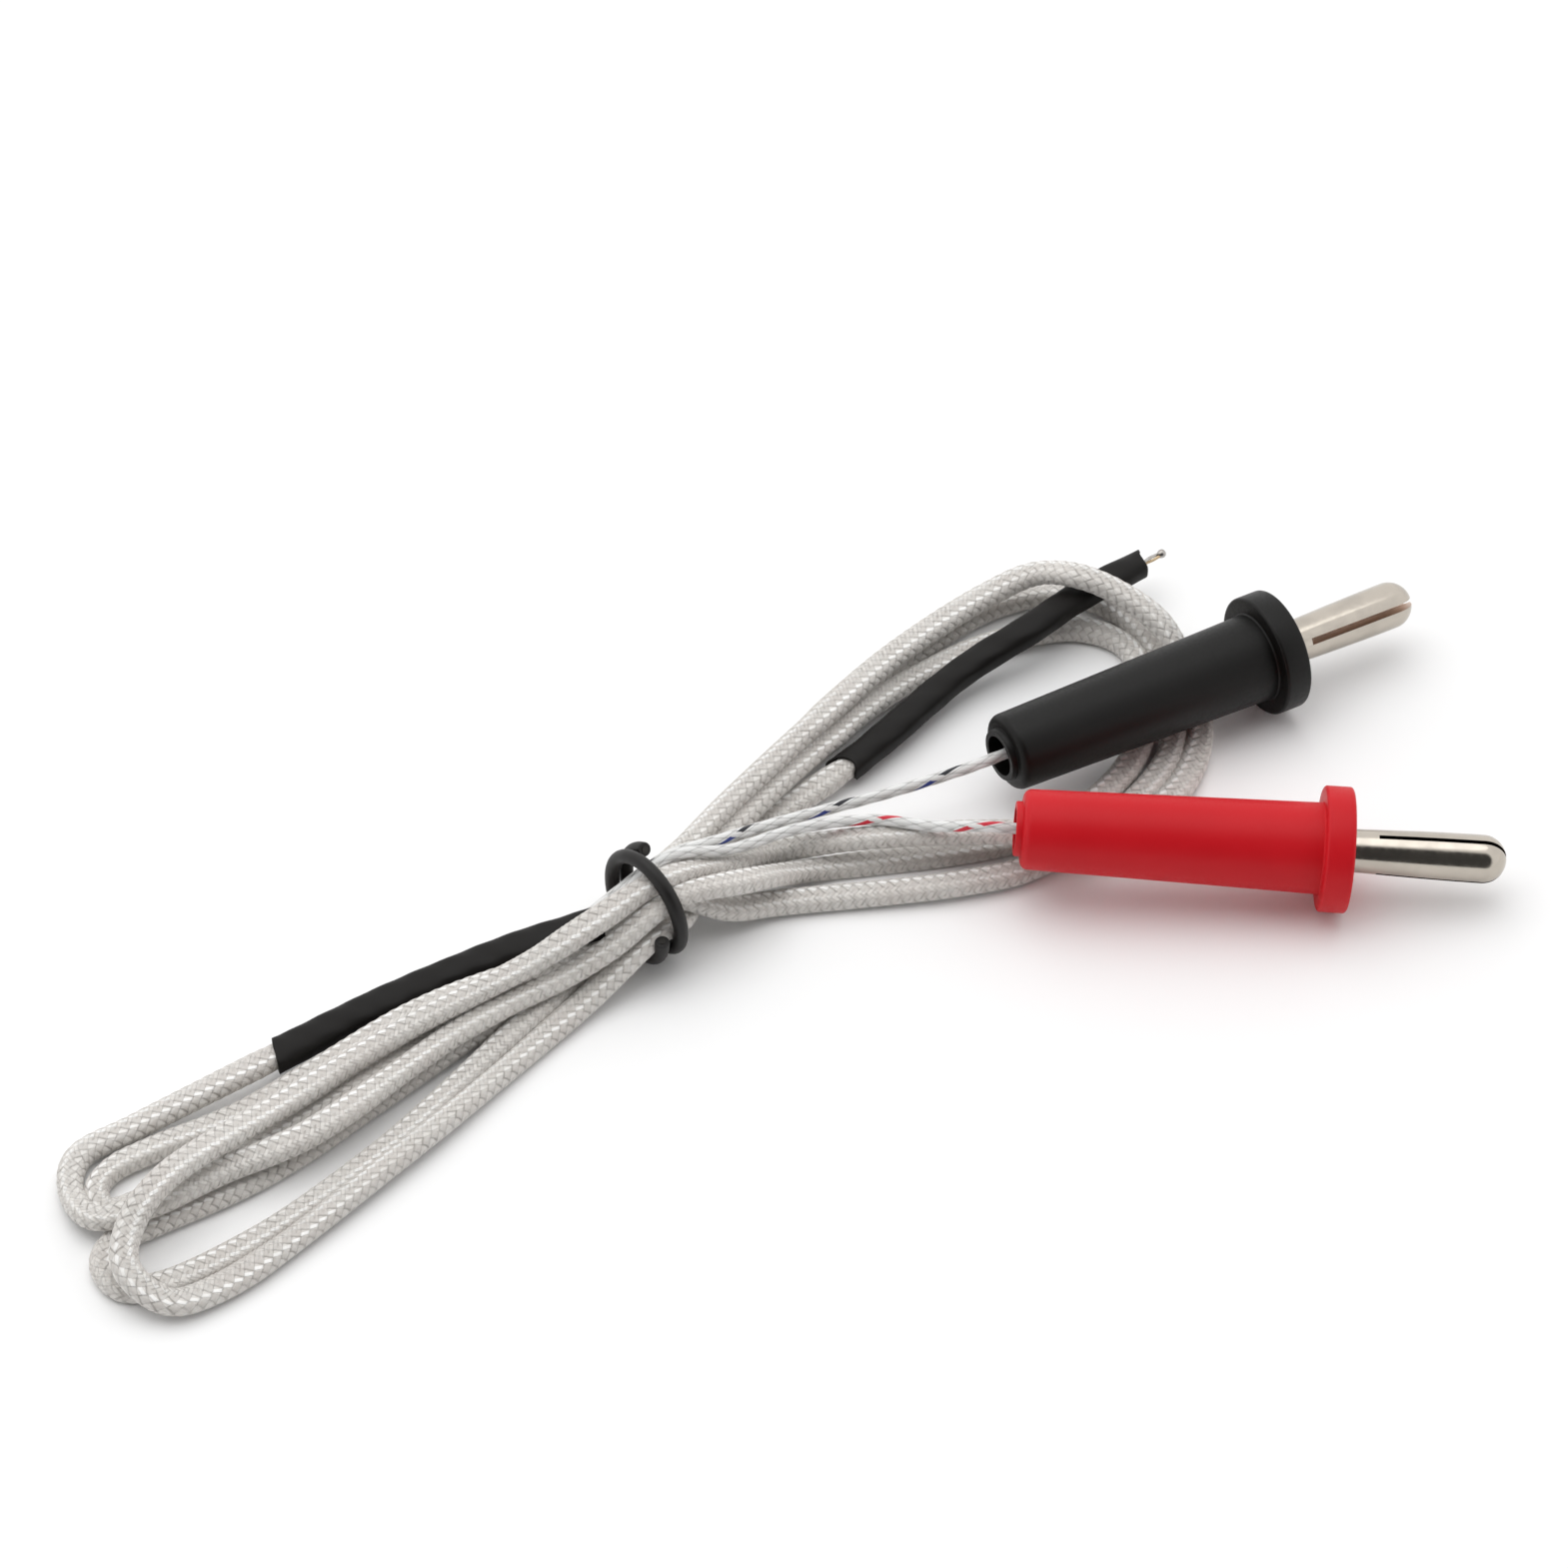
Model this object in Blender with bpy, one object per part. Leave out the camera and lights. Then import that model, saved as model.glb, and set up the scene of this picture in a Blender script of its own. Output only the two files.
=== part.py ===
"""Thermocouple test lead with two 4 mm plugs, wound in a hank and held by a rubber-coated wire tie.

The white braided cable ends in a bare weld bead at one end. At the other end it splits, under a
black sleeve, into two thin leads that go to a black plug and a red plug. Lengths in the tables
are millimetres, and MM turns them into Blender's metres. +Z is up and the surface is at Z = 0.
"""

import math

import bmesh
import bpy
from mathutils import Matrix, Vector

MM = 0.001

# Clearance between pieces that touch on the real object
SEAT_GAP = 0.3

# Braided cable and the thin leads that it splits into
CABLE_R = 0.82
LEAD_R = 0.48
CORD_BEVEL_RESOLUTION = 2
SLEEVE_BEVEL_RESOLUTION = 4

# Heat-shrunk sleeves
SLEEVE_WALL = 0.25
SLEEVE_BORE_R = 1.25
TIP_SLEEVE_LENGTH = 38.0
TIP_SLEEVE_MOUTH = 4.0
SPLIT_SLEEVE_LENGTH = 32.5
SPLIT_POINT = 15.0
LEAD_SPREAD = 0.6
LEAD_EXIT = 2.0
LEAD_FIRST_STEP = 1.3

# Measuring tip
BARE_WIRE_R = 0.14
BARE_WIRE_REACH = 2.0
BARE_WIRE_SPREAD = 0.26
BEAD_R = 0.42
TOUCH_GAP = 0.03

# Plug housing, from its rear face to the front face of its flange
HOUSING_LENGTH = 28.5
HOUSING_REAR_R = 3.5
HOUSING_FRONT_R = 4.0
REAR_EDGE_R = 0.7
FLANGE_R = 5.5
FLANGE_THICK = 2.5
FLANGE_EDGE = 0.25
REAR_HOLE_R = 1.9
REAR_HOLE_DEPTH = 8.0
COLLAR_R = 2.4
COLLAR_HEIGHT = 0.6
FRONT_LAND = 5.0

# Plug pin
PIN_LENGTH = 13.7
PIN_BASE_R = 1.9
PIN_SWELL_R = 2.12
PIN_DOME = 2.0
SHOULDER_R = 2.5
SHOULDER_LENGTH = 2.0
BARREL_R = 2.0
BARREL_LENGTH = 11.0
CUP_R = 0.6
CUP_DEPTH = 7.0
SLOT_WIDTH = 0.38
SLOT_START = 2.4
CUTTER_WIDTH = 6.0
CUTTER_OVERRUN = 2.0
CONDUCTOR_R = 0.25
CONDUCTOR_BARE = 1.0
ROUND_SEGMENTS = 32
PIN_SEGMENTS = 24

# Wire tie: a coil of about one and a half turns round the waist of the hank
TIE_CENTRE = (-20.5, -14.2)
TIE_LIFT = 0.02
TIE_BUNDLE_ANGLE = 37.0
TIE_COIL_R = 4.5
TIE_COAT_R = 0.65
TIE_CORE_R = 0.3
TIE_BORE_R = 0.42
TIE_PITCH = 1.5
TIE_START_ANGLE = 62.0
TIE_END_ANGLE = -508.0
TIE_STEP = 17.0
TIE_STUB = 1.9

# Where the plugs lie: centre of the flange's front face, heading and tilt in degrees
BLACK_PLUG_AT = (35.4, 17.0)
BLACK_PLUG_HEADING = 29.5
BLACK_PLUG_TILT = -1.2
RED_PLUG_AT = (40.2, -8.3)
RED_PLUG_HEADING = -1.3
RED_PLUG_TILT = -4.0

# Route of the cable from the tip sleeve's mouth to the split sleeve's far end
CABLE_ROUTE = [
    (23.6, 29.9, 3.61), (17.6, 25.2, 3.86), (13.6, 21.3, 3.95), (7.3, 17.2, 2.43),
    (-2.8, 6.2, 1.65), (-13.0, -2.9, 0.86), (-17.2, -8.7, 0.86), (-20.1, -15.1, 2.83),
    (-23.5, -16.7, 0.88), (-28.4, -21.6, 1.19), (-42.4, -39.2, 1.04), (-53.8, -50.1, 0.86),
    (-60.1, -54.0, 0.86), (-63.3, -54.4, 0.86), (-65.1, -51.9, 0.86), (-64.4, -49.4, 0.86),
    (-61.2, -47.3, 0.86), (-52.1, -41.5, 0.86), (-36.1, -26.8, 1.18), (-25.9, -16.2, 1.04),
    (-21.2, -13.4, 2.97), (-17.8, -6.0, 2.24), (-9.4, 5.9, 1.03), (5.4, 23.4, 0.98),
    (11.3, 27.7, 0.86), (16.7, 28.9, 0.86), (21.8, 26.2, 0.86), (25.7, 18.8, 0.86),
    (26.1, 10.9, 0.86), (23.5, 4.1, 0.86), (13.0, -5.7, 0.86), (6.9, -8.0, 1.12),
    (-9.5, -10.5, 1.16), (-13.3, -12.4, 2.52), (-19.4, -14.6, 5.88), (-22.8, -17.3, 3.08),
    (-32.0, -21.7, 3.96), (-40.2, -26.1, 3.95), (-54.3, -34.8, 0.87), (-61.9, -39.1, 0.91),
    (-65.1, -41.3, 0.86), (-66.3, -43.7, 0.86), (-65.3, -45.8, 0.86), (-62.1, -44.7, 0.86),
    (-42.6, -30.7, 2.07), (-29.6, -16.0, 0.94), (-20.5, -11.2, 4.66), (-13.6, -1.4, 4.42),
    (-6.5, 8.3, 4.09), (1.4, 19.0, 3.0), (9.6, 26.3, 3.2), (13.8, 27.5, 4.63), (17.5, 25.6, 6.25),
    (21.0, 24.6, 5.31), (25.2, 21.9, 3.57), (27.8, 16.7, 0.89), (28.3, 10.9, 0.87),
    (26.2, 3.9, 0.88), (21.0, -1.8, 1.48), (16.4, -3.9, 2.92), (10.3, -4.4, 3.78),
    (-2.0, -4.9, 3.48), (-10.0, -4.5, 1.4), (-13.4, -8.5, 4.01), (-19.4, -14.4, 8.02),
    (-24.8, -18.0, 6.8), (-30.5, -21.4, 5.0), (-40.0, -27.5, 4.14), (-50.4, -36.0, 3.66),
    (-60.3, -46.2, 5.14), (-62.8, -50.2, 3.97), (-63.0, -54.0, 3.03), (-59.6, -56.5, 1.64),
    (-55.2, -54.4, 1.06), (-40.8, -40.0, 1.35), (-26.1, -22.6, 1.22), (-19.7, -17.3, 4.39),
    (-17.4, -13.6, 2.81), (-15.6, -7.5, 3.4), (-4.1, 9.4, 2.34), (3.1, 18.0, 0.9),
    (11.9, 23.1, 0.86), (18.1, 24.2, 0.86), (22.1, 21.9, 0.86), (23.6, 15.7, 0.86),
    (21.7, 6.6, 0.89), (15.0, -1.0, 0.95), (8.2, -3.5, 0.86), (-6.8, -6.6, 1.17),
    (-11.9, -11.6, 5.13), (-18.5, -15.8, 7.01), (-23.4, -19.1, 4.78), (-27.2, -21.1, 3.35),
    (-35.4, -26.4, 2.88), (-48.8, -39.6, 3.31), (-55.8, -43.1, 2.71), (-61.8, -47.0, 2.72),
    (-66.0, -47.7, 1.97), (-68.4, -43.8, 0.97), (-68.0, -39.9, 0.87), (-63.4, -36.8, 1.24),
    (-52.1, -29.8, 2.31), (-43.3, -23.9, 2.5), (-32.5, -18.6, 3.51), (-24.5, -15.8, 4.33),
]

# Routes of the leads from the split sleeve to just behind their plugs
BLACK_LEAD_ROUTE = [
    (-19.0, -10.2, 6.63), (-14.8, -8.3, 6.62), (-9.0, -4.2, 4.9), (0.6, -0.3, 4.6),
]
RED_LEAD_ROUTE = [
    (-18.9, -11.8, 8.06), (-13.4, -8.8, 6.12), (-7.3, -5.0, 4.9), (-1.1, -3.9, 4.8),
    (4.2, -5.5, 5.6),
]

# How finely a cord is divided: a new point after this much turning or this length
MAX_TURN = 36.0
MAX_STEP = 22.0
LEAD_MAX_STEP = 4.0
FINE_STEP = 0.4

COLOURS = {
    "braid": ((0.72, 0.71, 0.68), 0.75, 0.0),
    "sleeve": ((0.02, 0.018, 0.017), 0.55, 0.0),
    "black_housing": ((0.018, 0.018, 0.02), 0.4, 0.0),
    "red_housing": ((0.55, 0.015, 0.03), 0.4, 0.0),
    "nickel": ((0.62, 0.58, 0.53), 0.25, 1.0),
    "tie_rubber": ((0.035, 0.035, 0.037), 0.5, 0.0),
    "tie_steel": ((0.5, 0.5, 0.5), 0.4, 1.0),
    "chromel": ((0.5, 0.42, 0.3), 0.35, 1.0),
    "alumel": ((0.5, 0.5, 0.5), 0.35, 1.0),
}


def clear_scene():
    for obj in list(bpy.data.objects):
        bpy.data.objects.remove(obj, do_unlink=True)


def material(name):
    found = bpy.data.materials.get(name)
    if found:
        return found
    colour, roughness, metallic = COLOURS[name]
    made = bpy.data.materials.new(name)
    made.use_nodes = True
    shader = made.node_tree.nodes["Principled BSDF"]
    shader.inputs["Base Color"].default_value = (*colour, 1.0)
    shader.inputs["Roughness"].default_value = roughness
    shader.inputs["Metallic"].default_value = metallic
    return made


def add_object(name, data, finish):
    obj = bpy.data.objects.new(name, data)
    data.materials.append(material(finish))
    bpy.context.collection.objects.link(obj)
    return obj


def mesh_object(name, bm, finish, smooth_angle=35.0):
    mesh = bpy.data.meshes.new(name)
    bmesh.ops.recalc_face_normals(bm, faces=bm.faces)
    bm.to_mesh(mesh)
    bm.free()
    mesh.shade_smooth()
    mesh.set_sharp_from_angle(angle=math.radians(smooth_angle))
    return add_object(name, mesh, finish)


def turned(name, profile, finish, segments):
    """A turned piece: profile is a closed loop of (radius, height) about the local Z axis."""
    bm = bmesh.new()
    corners = [bm.verts.new((radius * MM, 0.0, height * MM)) for radius, height in profile]
    edges = [bm.edges.new((corners[i - 1], corners[i])) for i in range(len(corners))]
    bmesh.ops.spin(
        bm, geom=corners + edges, cent=(0, 0, 0), axis=(0, 0, 1), angle=math.tau,
        steps=segments, use_merge=True, use_duplicate=False,
    )
    bmesh.ops.remove_doubles(bm, verts=bm.verts, dist=0.001 * MM)
    bmesh.ops.dissolve_degenerate(bm, edges=bm.edges, dist=0.0005 * MM)
    return mesh_object(name, bm, finish)


def arc(centre_r, centre_h, radius, start, end, steps):
    """Points of a rounded corner of a profile; angles in degrees from the outward radius."""
    points = []
    for step in range(steps + 1):
        angle = math.radians(start + (end - start) * step / steps)
        points.append((centre_r + radius * math.cos(angle), centre_h + radius * math.sin(angle)))
    return points


def smooth_curve(route):
    """Fine points of a smooth curve through the route's own points."""
    knots = [Vector(point) for point in route]
    knots = [2 * knots[0] - knots[1]] + knots + [2 * knots[-1] - knots[-2]]
    fine = []
    for before, start, end, after in zip(knots, knots[1:], knots[2:], knots[3:]):
        t0 = 0.0
        t1 = t0 + math.sqrt((start - before).length)
        t2 = t1 + math.sqrt((end - start).length)
        t3 = t2 + math.sqrt((after - end).length)
        steps = max(1, math.ceil((end - start).length / FINE_STEP))
        for step in range(steps):
            t = t1 + (t2 - t1) * step / steps
            a1 = before.lerp(start, (t - t0) / (t1 - t0))
            a2 = start.lerp(end, (t - t1) / (t2 - t1))
            a3 = end.lerp(after, (t - t2) / (t3 - t2))
            b1 = a1.lerp(a2, (t - t0) / (t2 - t0))
            b2 = a2.lerp(a3, (t - t1) / (t3 - t1))
            fine.append(b1.lerp(b2, (t - t1) / (t2 - t1)))
    fine.append(knots[-2])
    return fine


def divide(fine, stops=(), longest=MAX_STEP):
    """Cord points from a fine curve, with one at each stop; returns points and their distances."""
    distance = [0.0]
    for a, b in zip(fine, fine[1:]):
        distance.append(distance[-1] + (b - a).length)
    waiting = sorted(stops)
    points, places = [fine[0]], [0.0]
    turned_by = 0.0
    for i in range(1, len(fine) - 1):
        heading = fine[i] - fine[i - 1]
        turned_by += math.degrees(heading.angle(fine[i + 1] - fine[i]))
        at_stop = bool(waiting) and distance[i] >= waiting[0]
        if at_stop or turned_by > MAX_TURN or distance[i] - places[-1] > longest:
            points.append(fine[i])
            places.append(distance[i])
            turned_by = 0.0
        if at_stop:
            waiting.pop(0)
    points.append(fine[-1])
    places.append(distance[-1])
    return points, places


def stretch(points, places, start, end):
    """The points of a divided cord that lie between two distances along it."""
    slack = FINE_STEP
    return [p for p, place in zip(points, places) if start - slack / 2 <= place <= end + slack]


def rod(name, points, radius, finish, resolution=CORD_BEVEL_RESOLUTION, capped=True):
    """A round cord, wire or tube along points, as a bevelled curve."""
    curve = bpy.data.curves.new(name, "CURVE")
    curve.dimensions = "3D"
    curve.bevel_depth = radius * MM
    curve.bevel_resolution = resolution
    curve.use_fill_caps = capped
    spline = curve.splines.new("POLY")
    spline.points.add(len(points) - 1)
    for target, point in zip(spline.points, points):
        target.co = (*(Vector(point) * MM), 1.0)
    return add_object(name, curve, finish)


def tube(name, points, bore_r, wall, finish, resolution):
    """An open-ended tube: a bevelled curve of the outer radius, thickened inwards."""
    obj = rod(name, points, bore_r + wall, finish, resolution, capped=False)
    shell = obj.modifiers.new("wall", "SOLIDIFY")
    shell.thickness = wall * MM
    shell.offset = -1.0
    shell.use_rim = True
    return obj


def housing_profile():
    """Section of the plug's moulded housing, from its rear face (0) to the flange's front."""
    flange_rear = HOUSING_LENGTH - FLANGE_THICK
    cavity_end = HOUSING_LENGTH - FRONT_LAND
    cavity_r = SHOULDER_R + SEAT_GAP
    land_r = PIN_BASE_R + SEAT_GAP
    chamfer = cavity_r - REAR_HOLE_R
    outside = [(COLLAR_R, -COLLAR_HEIGHT), (COLLAR_R, 0.0)]
    outside += arc(HOUSING_REAR_R - REAR_EDGE_R, REAR_EDGE_R, REAR_EDGE_R, -90.0, 0.0, 4)
    outside += [(HOUSING_FRONT_R, flange_rear)]
    outside += [(FLANGE_R - FLANGE_EDGE, flange_rear), (FLANGE_R, flange_rear + FLANGE_EDGE)]
    outside += [(FLANGE_R, HOUSING_LENGTH - FLANGE_EDGE), (FLANGE_R - FLANGE_EDGE, HOUSING_LENGTH)]
    inside = [(land_r, HOUSING_LENGTH), (land_r, cavity_end), (cavity_r, cavity_end)]
    inside += [(cavity_r, REAR_HOLE_DEPTH + chamfer), (REAR_HOLE_R, REAR_HOLE_DEPTH)]
    inside += [(REAR_HOLE_R, -COLLAR_HEIGHT)]
    return outside + inside


def pin_profile():
    """Section of the pin: domed spring end, shank, shoulder and crimp barrel with its cup."""
    shoulder_front = HOUSING_LENGTH - FRONT_LAND - SEAT_GAP
    shoulder_rear = shoulder_front - SHOULDER_LENGTH
    barrel_rear = shoulder_rear - BARREL_LENGTH
    tip = HOUSING_LENGTH + PIN_LENGTH
    dome_start = tip - PIN_DOME
    profile = [(CUP_R, barrel_rear), (BARREL_R, barrel_rear), (BARREL_R, shoulder_rear)]
    profile += [(SHOULDER_R, shoulder_rear), (SHOULDER_R, shoulder_front)]
    profile += [(PIN_BASE_R, shoulder_front), (PIN_BASE_R, HOUSING_LENGTH + 1.0)]
    for share in (0.35, 0.7, 1.0):
        height = HOUSING_LENGTH + 1.0 + (dome_start - HOUSING_LENGTH - 1.0) * share
        swell = math.sin(share * math.pi / 2)
        profile.append((PIN_BASE_R + (PIN_SWELL_R - PIN_BASE_R) * swell, height))
    for step in range(1, 6):
        angle = math.pi / 2 * step / 5
        radius = PIN_SWELL_R * math.cos(angle)
        profile.append((max(radius, 0.0), dome_start + PIN_DOME * math.sin(angle)))
    profile += [(0.0, barrel_rear + CUP_DEPTH), (CUP_R, barrel_rear + CUP_DEPTH)]
    return profile


def barrel_mouth():
    return HOUSING_LENGTH - FRONT_LAND - SEAT_GAP - SHOULDER_LENGTH - BARREL_LENGTH


def plug_frame(place, heading, tilt):
    """Matrix of a plug whose flange rests on the surface; its local Z runs from rear to pin."""
    lean = math.radians(tilt)
    low_face = 0.0 if tilt <= 0 else FLANGE_THICK - FLANGE_EDGE
    lowest_rim = FLANGE_R * math.cos(lean)
    height = lowest_rim + (FLANGE_EDGE if tilt <= 0 else low_face) * math.sin(lean)
    direction = Vector((
        math.cos(math.radians(heading)) * math.cos(lean),
        math.sin(math.radians(heading)) * math.cos(lean),
        math.sin(lean),
    ))
    side = Vector((0, 0, 1)).cross(direction).normalized()
    upward = direction.cross(side)
    turn = Matrix((upward, side * -1.0, direction)).transposed()
    front = Vector((*place, height))
    rear = front - direction * HOUSING_LENGTH
    return Matrix.Translation(rear * MM) @ turn.to_4x4()


def along(frame, distance):
    """Point on a plug's axis, in millimetres, at a distance from its rear face."""
    return (frame @ Vector((0.0, 0.0, distance * MM))) / MM


def slot_cutter(name, frame, angle):
    length = PIN_LENGTH - SLOT_START + CUTTER_OVERRUN
    start = HOUSING_LENGTH + SLOT_START
    bm = bmesh.new()
    bmesh.ops.create_cube(bm, size=1.0)
    bmesh.ops.scale(bm, vec=(SLOT_WIDTH * MM, CUTTER_WIDTH * MM, length * MM), verts=bm.verts)
    bmesh.ops.translate(bm, vec=(0, 0, (start + length / 2) * MM), verts=bm.verts)
    cutter = mesh_object(name, bm, "nickel")
    cutter.matrix_world = frame @ Matrix.Rotation(math.radians(angle), 4, "Z")
    cutter.hide_render = True
    cutter.display_type = "WIRE"
    return cutter


def build_plug(side, frame, finish, slot_angle):
    """Housing, slotted pin and the lead's crimped conductor of one plug."""
    housing = turned(side + "_plug_housing", housing_profile(), finish, ROUND_SEGMENTS)
    housing.matrix_world = frame
    pin = turned(side + "_plug_pin", pin_profile(), "nickel", PIN_SEGMENTS)
    pin.matrix_world = frame
    for number in range(2):
        angle = slot_angle + 90.0 * number
        cut = pin.modifiers.new("slot", "BOOLEAN")
        cut.operation = "DIFFERENCE"
        cut.object = slot_cutter(f"{side}_slot_cutter_{number}", frame, angle)
    cup_bottom = barrel_mouth() + CUP_DEPTH
    conductor = [along(frame, d) for d in (barrel_mouth() - CONDUCTOR_BARE, cup_bottom - SEAT_GAP)]
    rod(side + "_lead_conductor", conductor, CONDUCTOR_R, "chromel" if side == "red" else "alumel")


def build_lead(side, sleeve_points, offset, route, frame, finish="braid"):
    """A thin lead: side by side with the other inside the sleeve, then through the tie."""
    start = []
    for before, point in zip(sleeve_points, sleeve_points[1:]):
        across = (point - before).cross(Vector((0, 0, 1))).normalized()
        start.append(point + across * offset)
    start.append(start[-1] + (sleeve_points[-1] - sleeve_points[-2]).normalized() * LEAD_EXIT)
    lead_end = barrel_mouth() - CONDUCTOR_BARE - SEAT_GAP
    end = [along(frame, d) for d in (-3.5, 0.0, 4.0, lead_end)]
    fine = smooth_curve(start + [Vector(p) for p in route] + end)
    points, _ = divide(fine, longest=LEAD_MAX_STEP)
    rod(side + "_lead", points, LEAD_R, finish)


def build_cable():
    """Cable, its two sleeves, and the points where the leads start."""
    fine = smooth_curve(CABLE_ROUTE)
    total = sum((b - a).length for a, b in zip(fine, fine[1:]))
    split = total - SPLIT_POINT
    stops = (
        TIP_SLEEVE_MOUTH, TIP_SLEEVE_LENGTH, total - SPLIT_SLEEVE_LENGTH, split,
        split + LEAD_FIRST_STEP, total - SPLIT_POINT / 2,
    )
    points, places = divide(fine, stops)
    rod("cable", stretch(points, places, TIP_SLEEVE_MOUTH, split), CABLE_R, "braid")
    tip_run = stretch(points, places, 0.0, TIP_SLEEVE_LENGTH)
    tube("tip_sleeve", tip_run, SLEEVE_BORE_R, SLEEVE_WALL, "sleeve", SLEEVE_BEVEL_RESOLUTION)
    split_run = stretch(points, places, total - SPLIT_SLEEVE_LENGTH, total)
    tube("split_sleeve", split_run, SLEEVE_BORE_R, SLEEVE_WALL, "sleeve", SLEEVE_BEVEL_RESOLUTION)
    return points, places, split


def build_tip(points):
    """Two bare wires that leave the tip sleeve, twist once and meet in the weld bead."""
    mouth = points[0]
    outward = (points[0] - points[1]).normalized()
    side = outward.cross(Vector((0, 0, 1))).normalized()
    rise = side.cross(outward)
    inside = TIP_SLEEVE_MOUTH - SEAT_GAP
    bead_at = mouth + outward * (BARE_WIRE_REACH + BEAD_R)
    reach = inside + BARE_WIRE_REACH + BEAD_R
    for number, finish in enumerate(("chromel", "alumel")):
        path = []
        for step in range(9):
            share = step / 8
            phase = math.pi * (number + 1.25 * share)
            spread = BARE_WIRE_SPREAD * (1.0 - 0.3 * share)
            middle = mouth + outward * (-inside + reach * share)
            path.append(middle + spread * (math.cos(phase) * side + math.sin(phase) * rise))
        toward = (path[-2] - bead_at).normalized()
        path[-1] = bead_at + toward * (BEAD_R + TOUCH_GAP + BARE_WIRE_R * 0.4)
        rod(f"bare_wire_{number + 1}", path, BARE_WIRE_R, finish)
    bm = bmesh.new()
    bmesh.ops.create_uvsphere(bm, u_segments=14, v_segments=9, radius=BEAD_R * MM)
    bead = mesh_object("weld_bead", bm, "nickel", 80.0)
    bead.location = bead_at * MM


def tie_points():
    """Centre line of the tie: a coil round the hank with one end standing out at the top."""
    centre = Vector((*TIE_CENTRE, TIE_COIL_R + TIE_COAT_R + TIE_LIFT))
    heading = math.radians(TIE_BUNDLE_ANGLE)
    lengthwise = Vector((math.cos(heading), math.sin(heading), 0.0))
    backward = Vector((-math.sin(heading), math.cos(heading), 0.0))
    sweep = TIE_START_ANGLE - TIE_END_ANGLE
    steps = round(sweep / TIE_STEP)
    path = []
    for step in range(steps + 1):
        share = step / steps
        angle = math.radians(TIE_START_ANGLE - sweep * share)
        shift = TIE_PITCH * sweep / 360.0 * (0.5 - share)
        out = backward * math.cos(angle) + Vector((0, 0, 1)) * math.sin(angle)
        path.append(centre + out * TIE_COIL_R + lengthwise * shift)
    upward = (path[0] - centre).normalized()
    first = path[0] - path[1]
    bend = (first.normalized() + upward * 0.9).normalized()
    stub = [path[0] + bend * TIE_STUB * 0.5, path[0] + (bend + upward).normalized() * TIE_STUB]
    return stub[::-1] + path


def build_tie():
    path = tie_points()
    wall = TIE_COAT_R - TIE_BORE_R
    tube("tie_coat", path, TIE_BORE_R, wall, "tie_rubber", CORD_BEVEL_RESOLUTION)
    rod("tie_wire_core", path, TIE_CORE_R, "tie_steel")


def main():
    clear_scene()
    points, places, split = build_cable()
    build_tip(points)
    build_tie()
    black = plug_frame(BLACK_PLUG_AT, BLACK_PLUG_HEADING, BLACK_PLUG_TILT)
    red = plug_frame(RED_PLUG_AT, RED_PLUG_HEADING, RED_PLUG_TILT)
    build_plug("black", black, "black_housing", 45.0)
    build_plug("red", red, "red_housing", 40.0)
    sleeve_points = stretch(points, places, split + SEAT_GAP, places[-1])
    build_lead("black", sleeve_points, -LEAD_SPREAD, BLACK_LEAD_ROUTE, black)
    build_lead("red", sleeve_points, LEAD_SPREAD, RED_LEAD_ROUTE, red)


main()
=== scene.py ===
"""Looks of the thermocouple test lead: braided cable, leads, sleeves, plugs, wire tie and floor.

Lengths are in metres, but for the routes, and every piece is built where the packed model has it.
"""

import math

import bmesh
import bpy
import numpy as np
from bpy.props import FloatProperty, FloatVectorProperty, IntProperty, PointerProperty
from mathutils import Matrix, Vector
from mathutils.kdtree import KDTree


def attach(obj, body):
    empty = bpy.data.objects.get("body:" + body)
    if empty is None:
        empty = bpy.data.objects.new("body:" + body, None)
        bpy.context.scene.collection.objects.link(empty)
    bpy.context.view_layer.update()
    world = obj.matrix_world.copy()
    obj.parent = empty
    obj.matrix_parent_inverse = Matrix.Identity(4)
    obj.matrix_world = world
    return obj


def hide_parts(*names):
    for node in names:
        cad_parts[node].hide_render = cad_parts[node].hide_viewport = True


bl_info = {
    "name": "Thermocouple test lead",
    "version": (1, 0, 0),
    "blender": (4, 5, 0),
    "location": "View3D > Sidebar > Test lead",
    "description": "Builds a braided thermocouple test lead with two plugs over its packed model",
    "category": "Object",
}

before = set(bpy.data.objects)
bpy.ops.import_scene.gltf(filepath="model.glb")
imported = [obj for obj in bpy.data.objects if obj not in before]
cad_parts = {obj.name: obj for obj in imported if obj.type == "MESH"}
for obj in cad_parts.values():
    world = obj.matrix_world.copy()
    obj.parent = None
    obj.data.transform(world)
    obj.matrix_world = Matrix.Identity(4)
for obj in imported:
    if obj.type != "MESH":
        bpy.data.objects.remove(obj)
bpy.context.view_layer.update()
MM = 0.001

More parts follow.
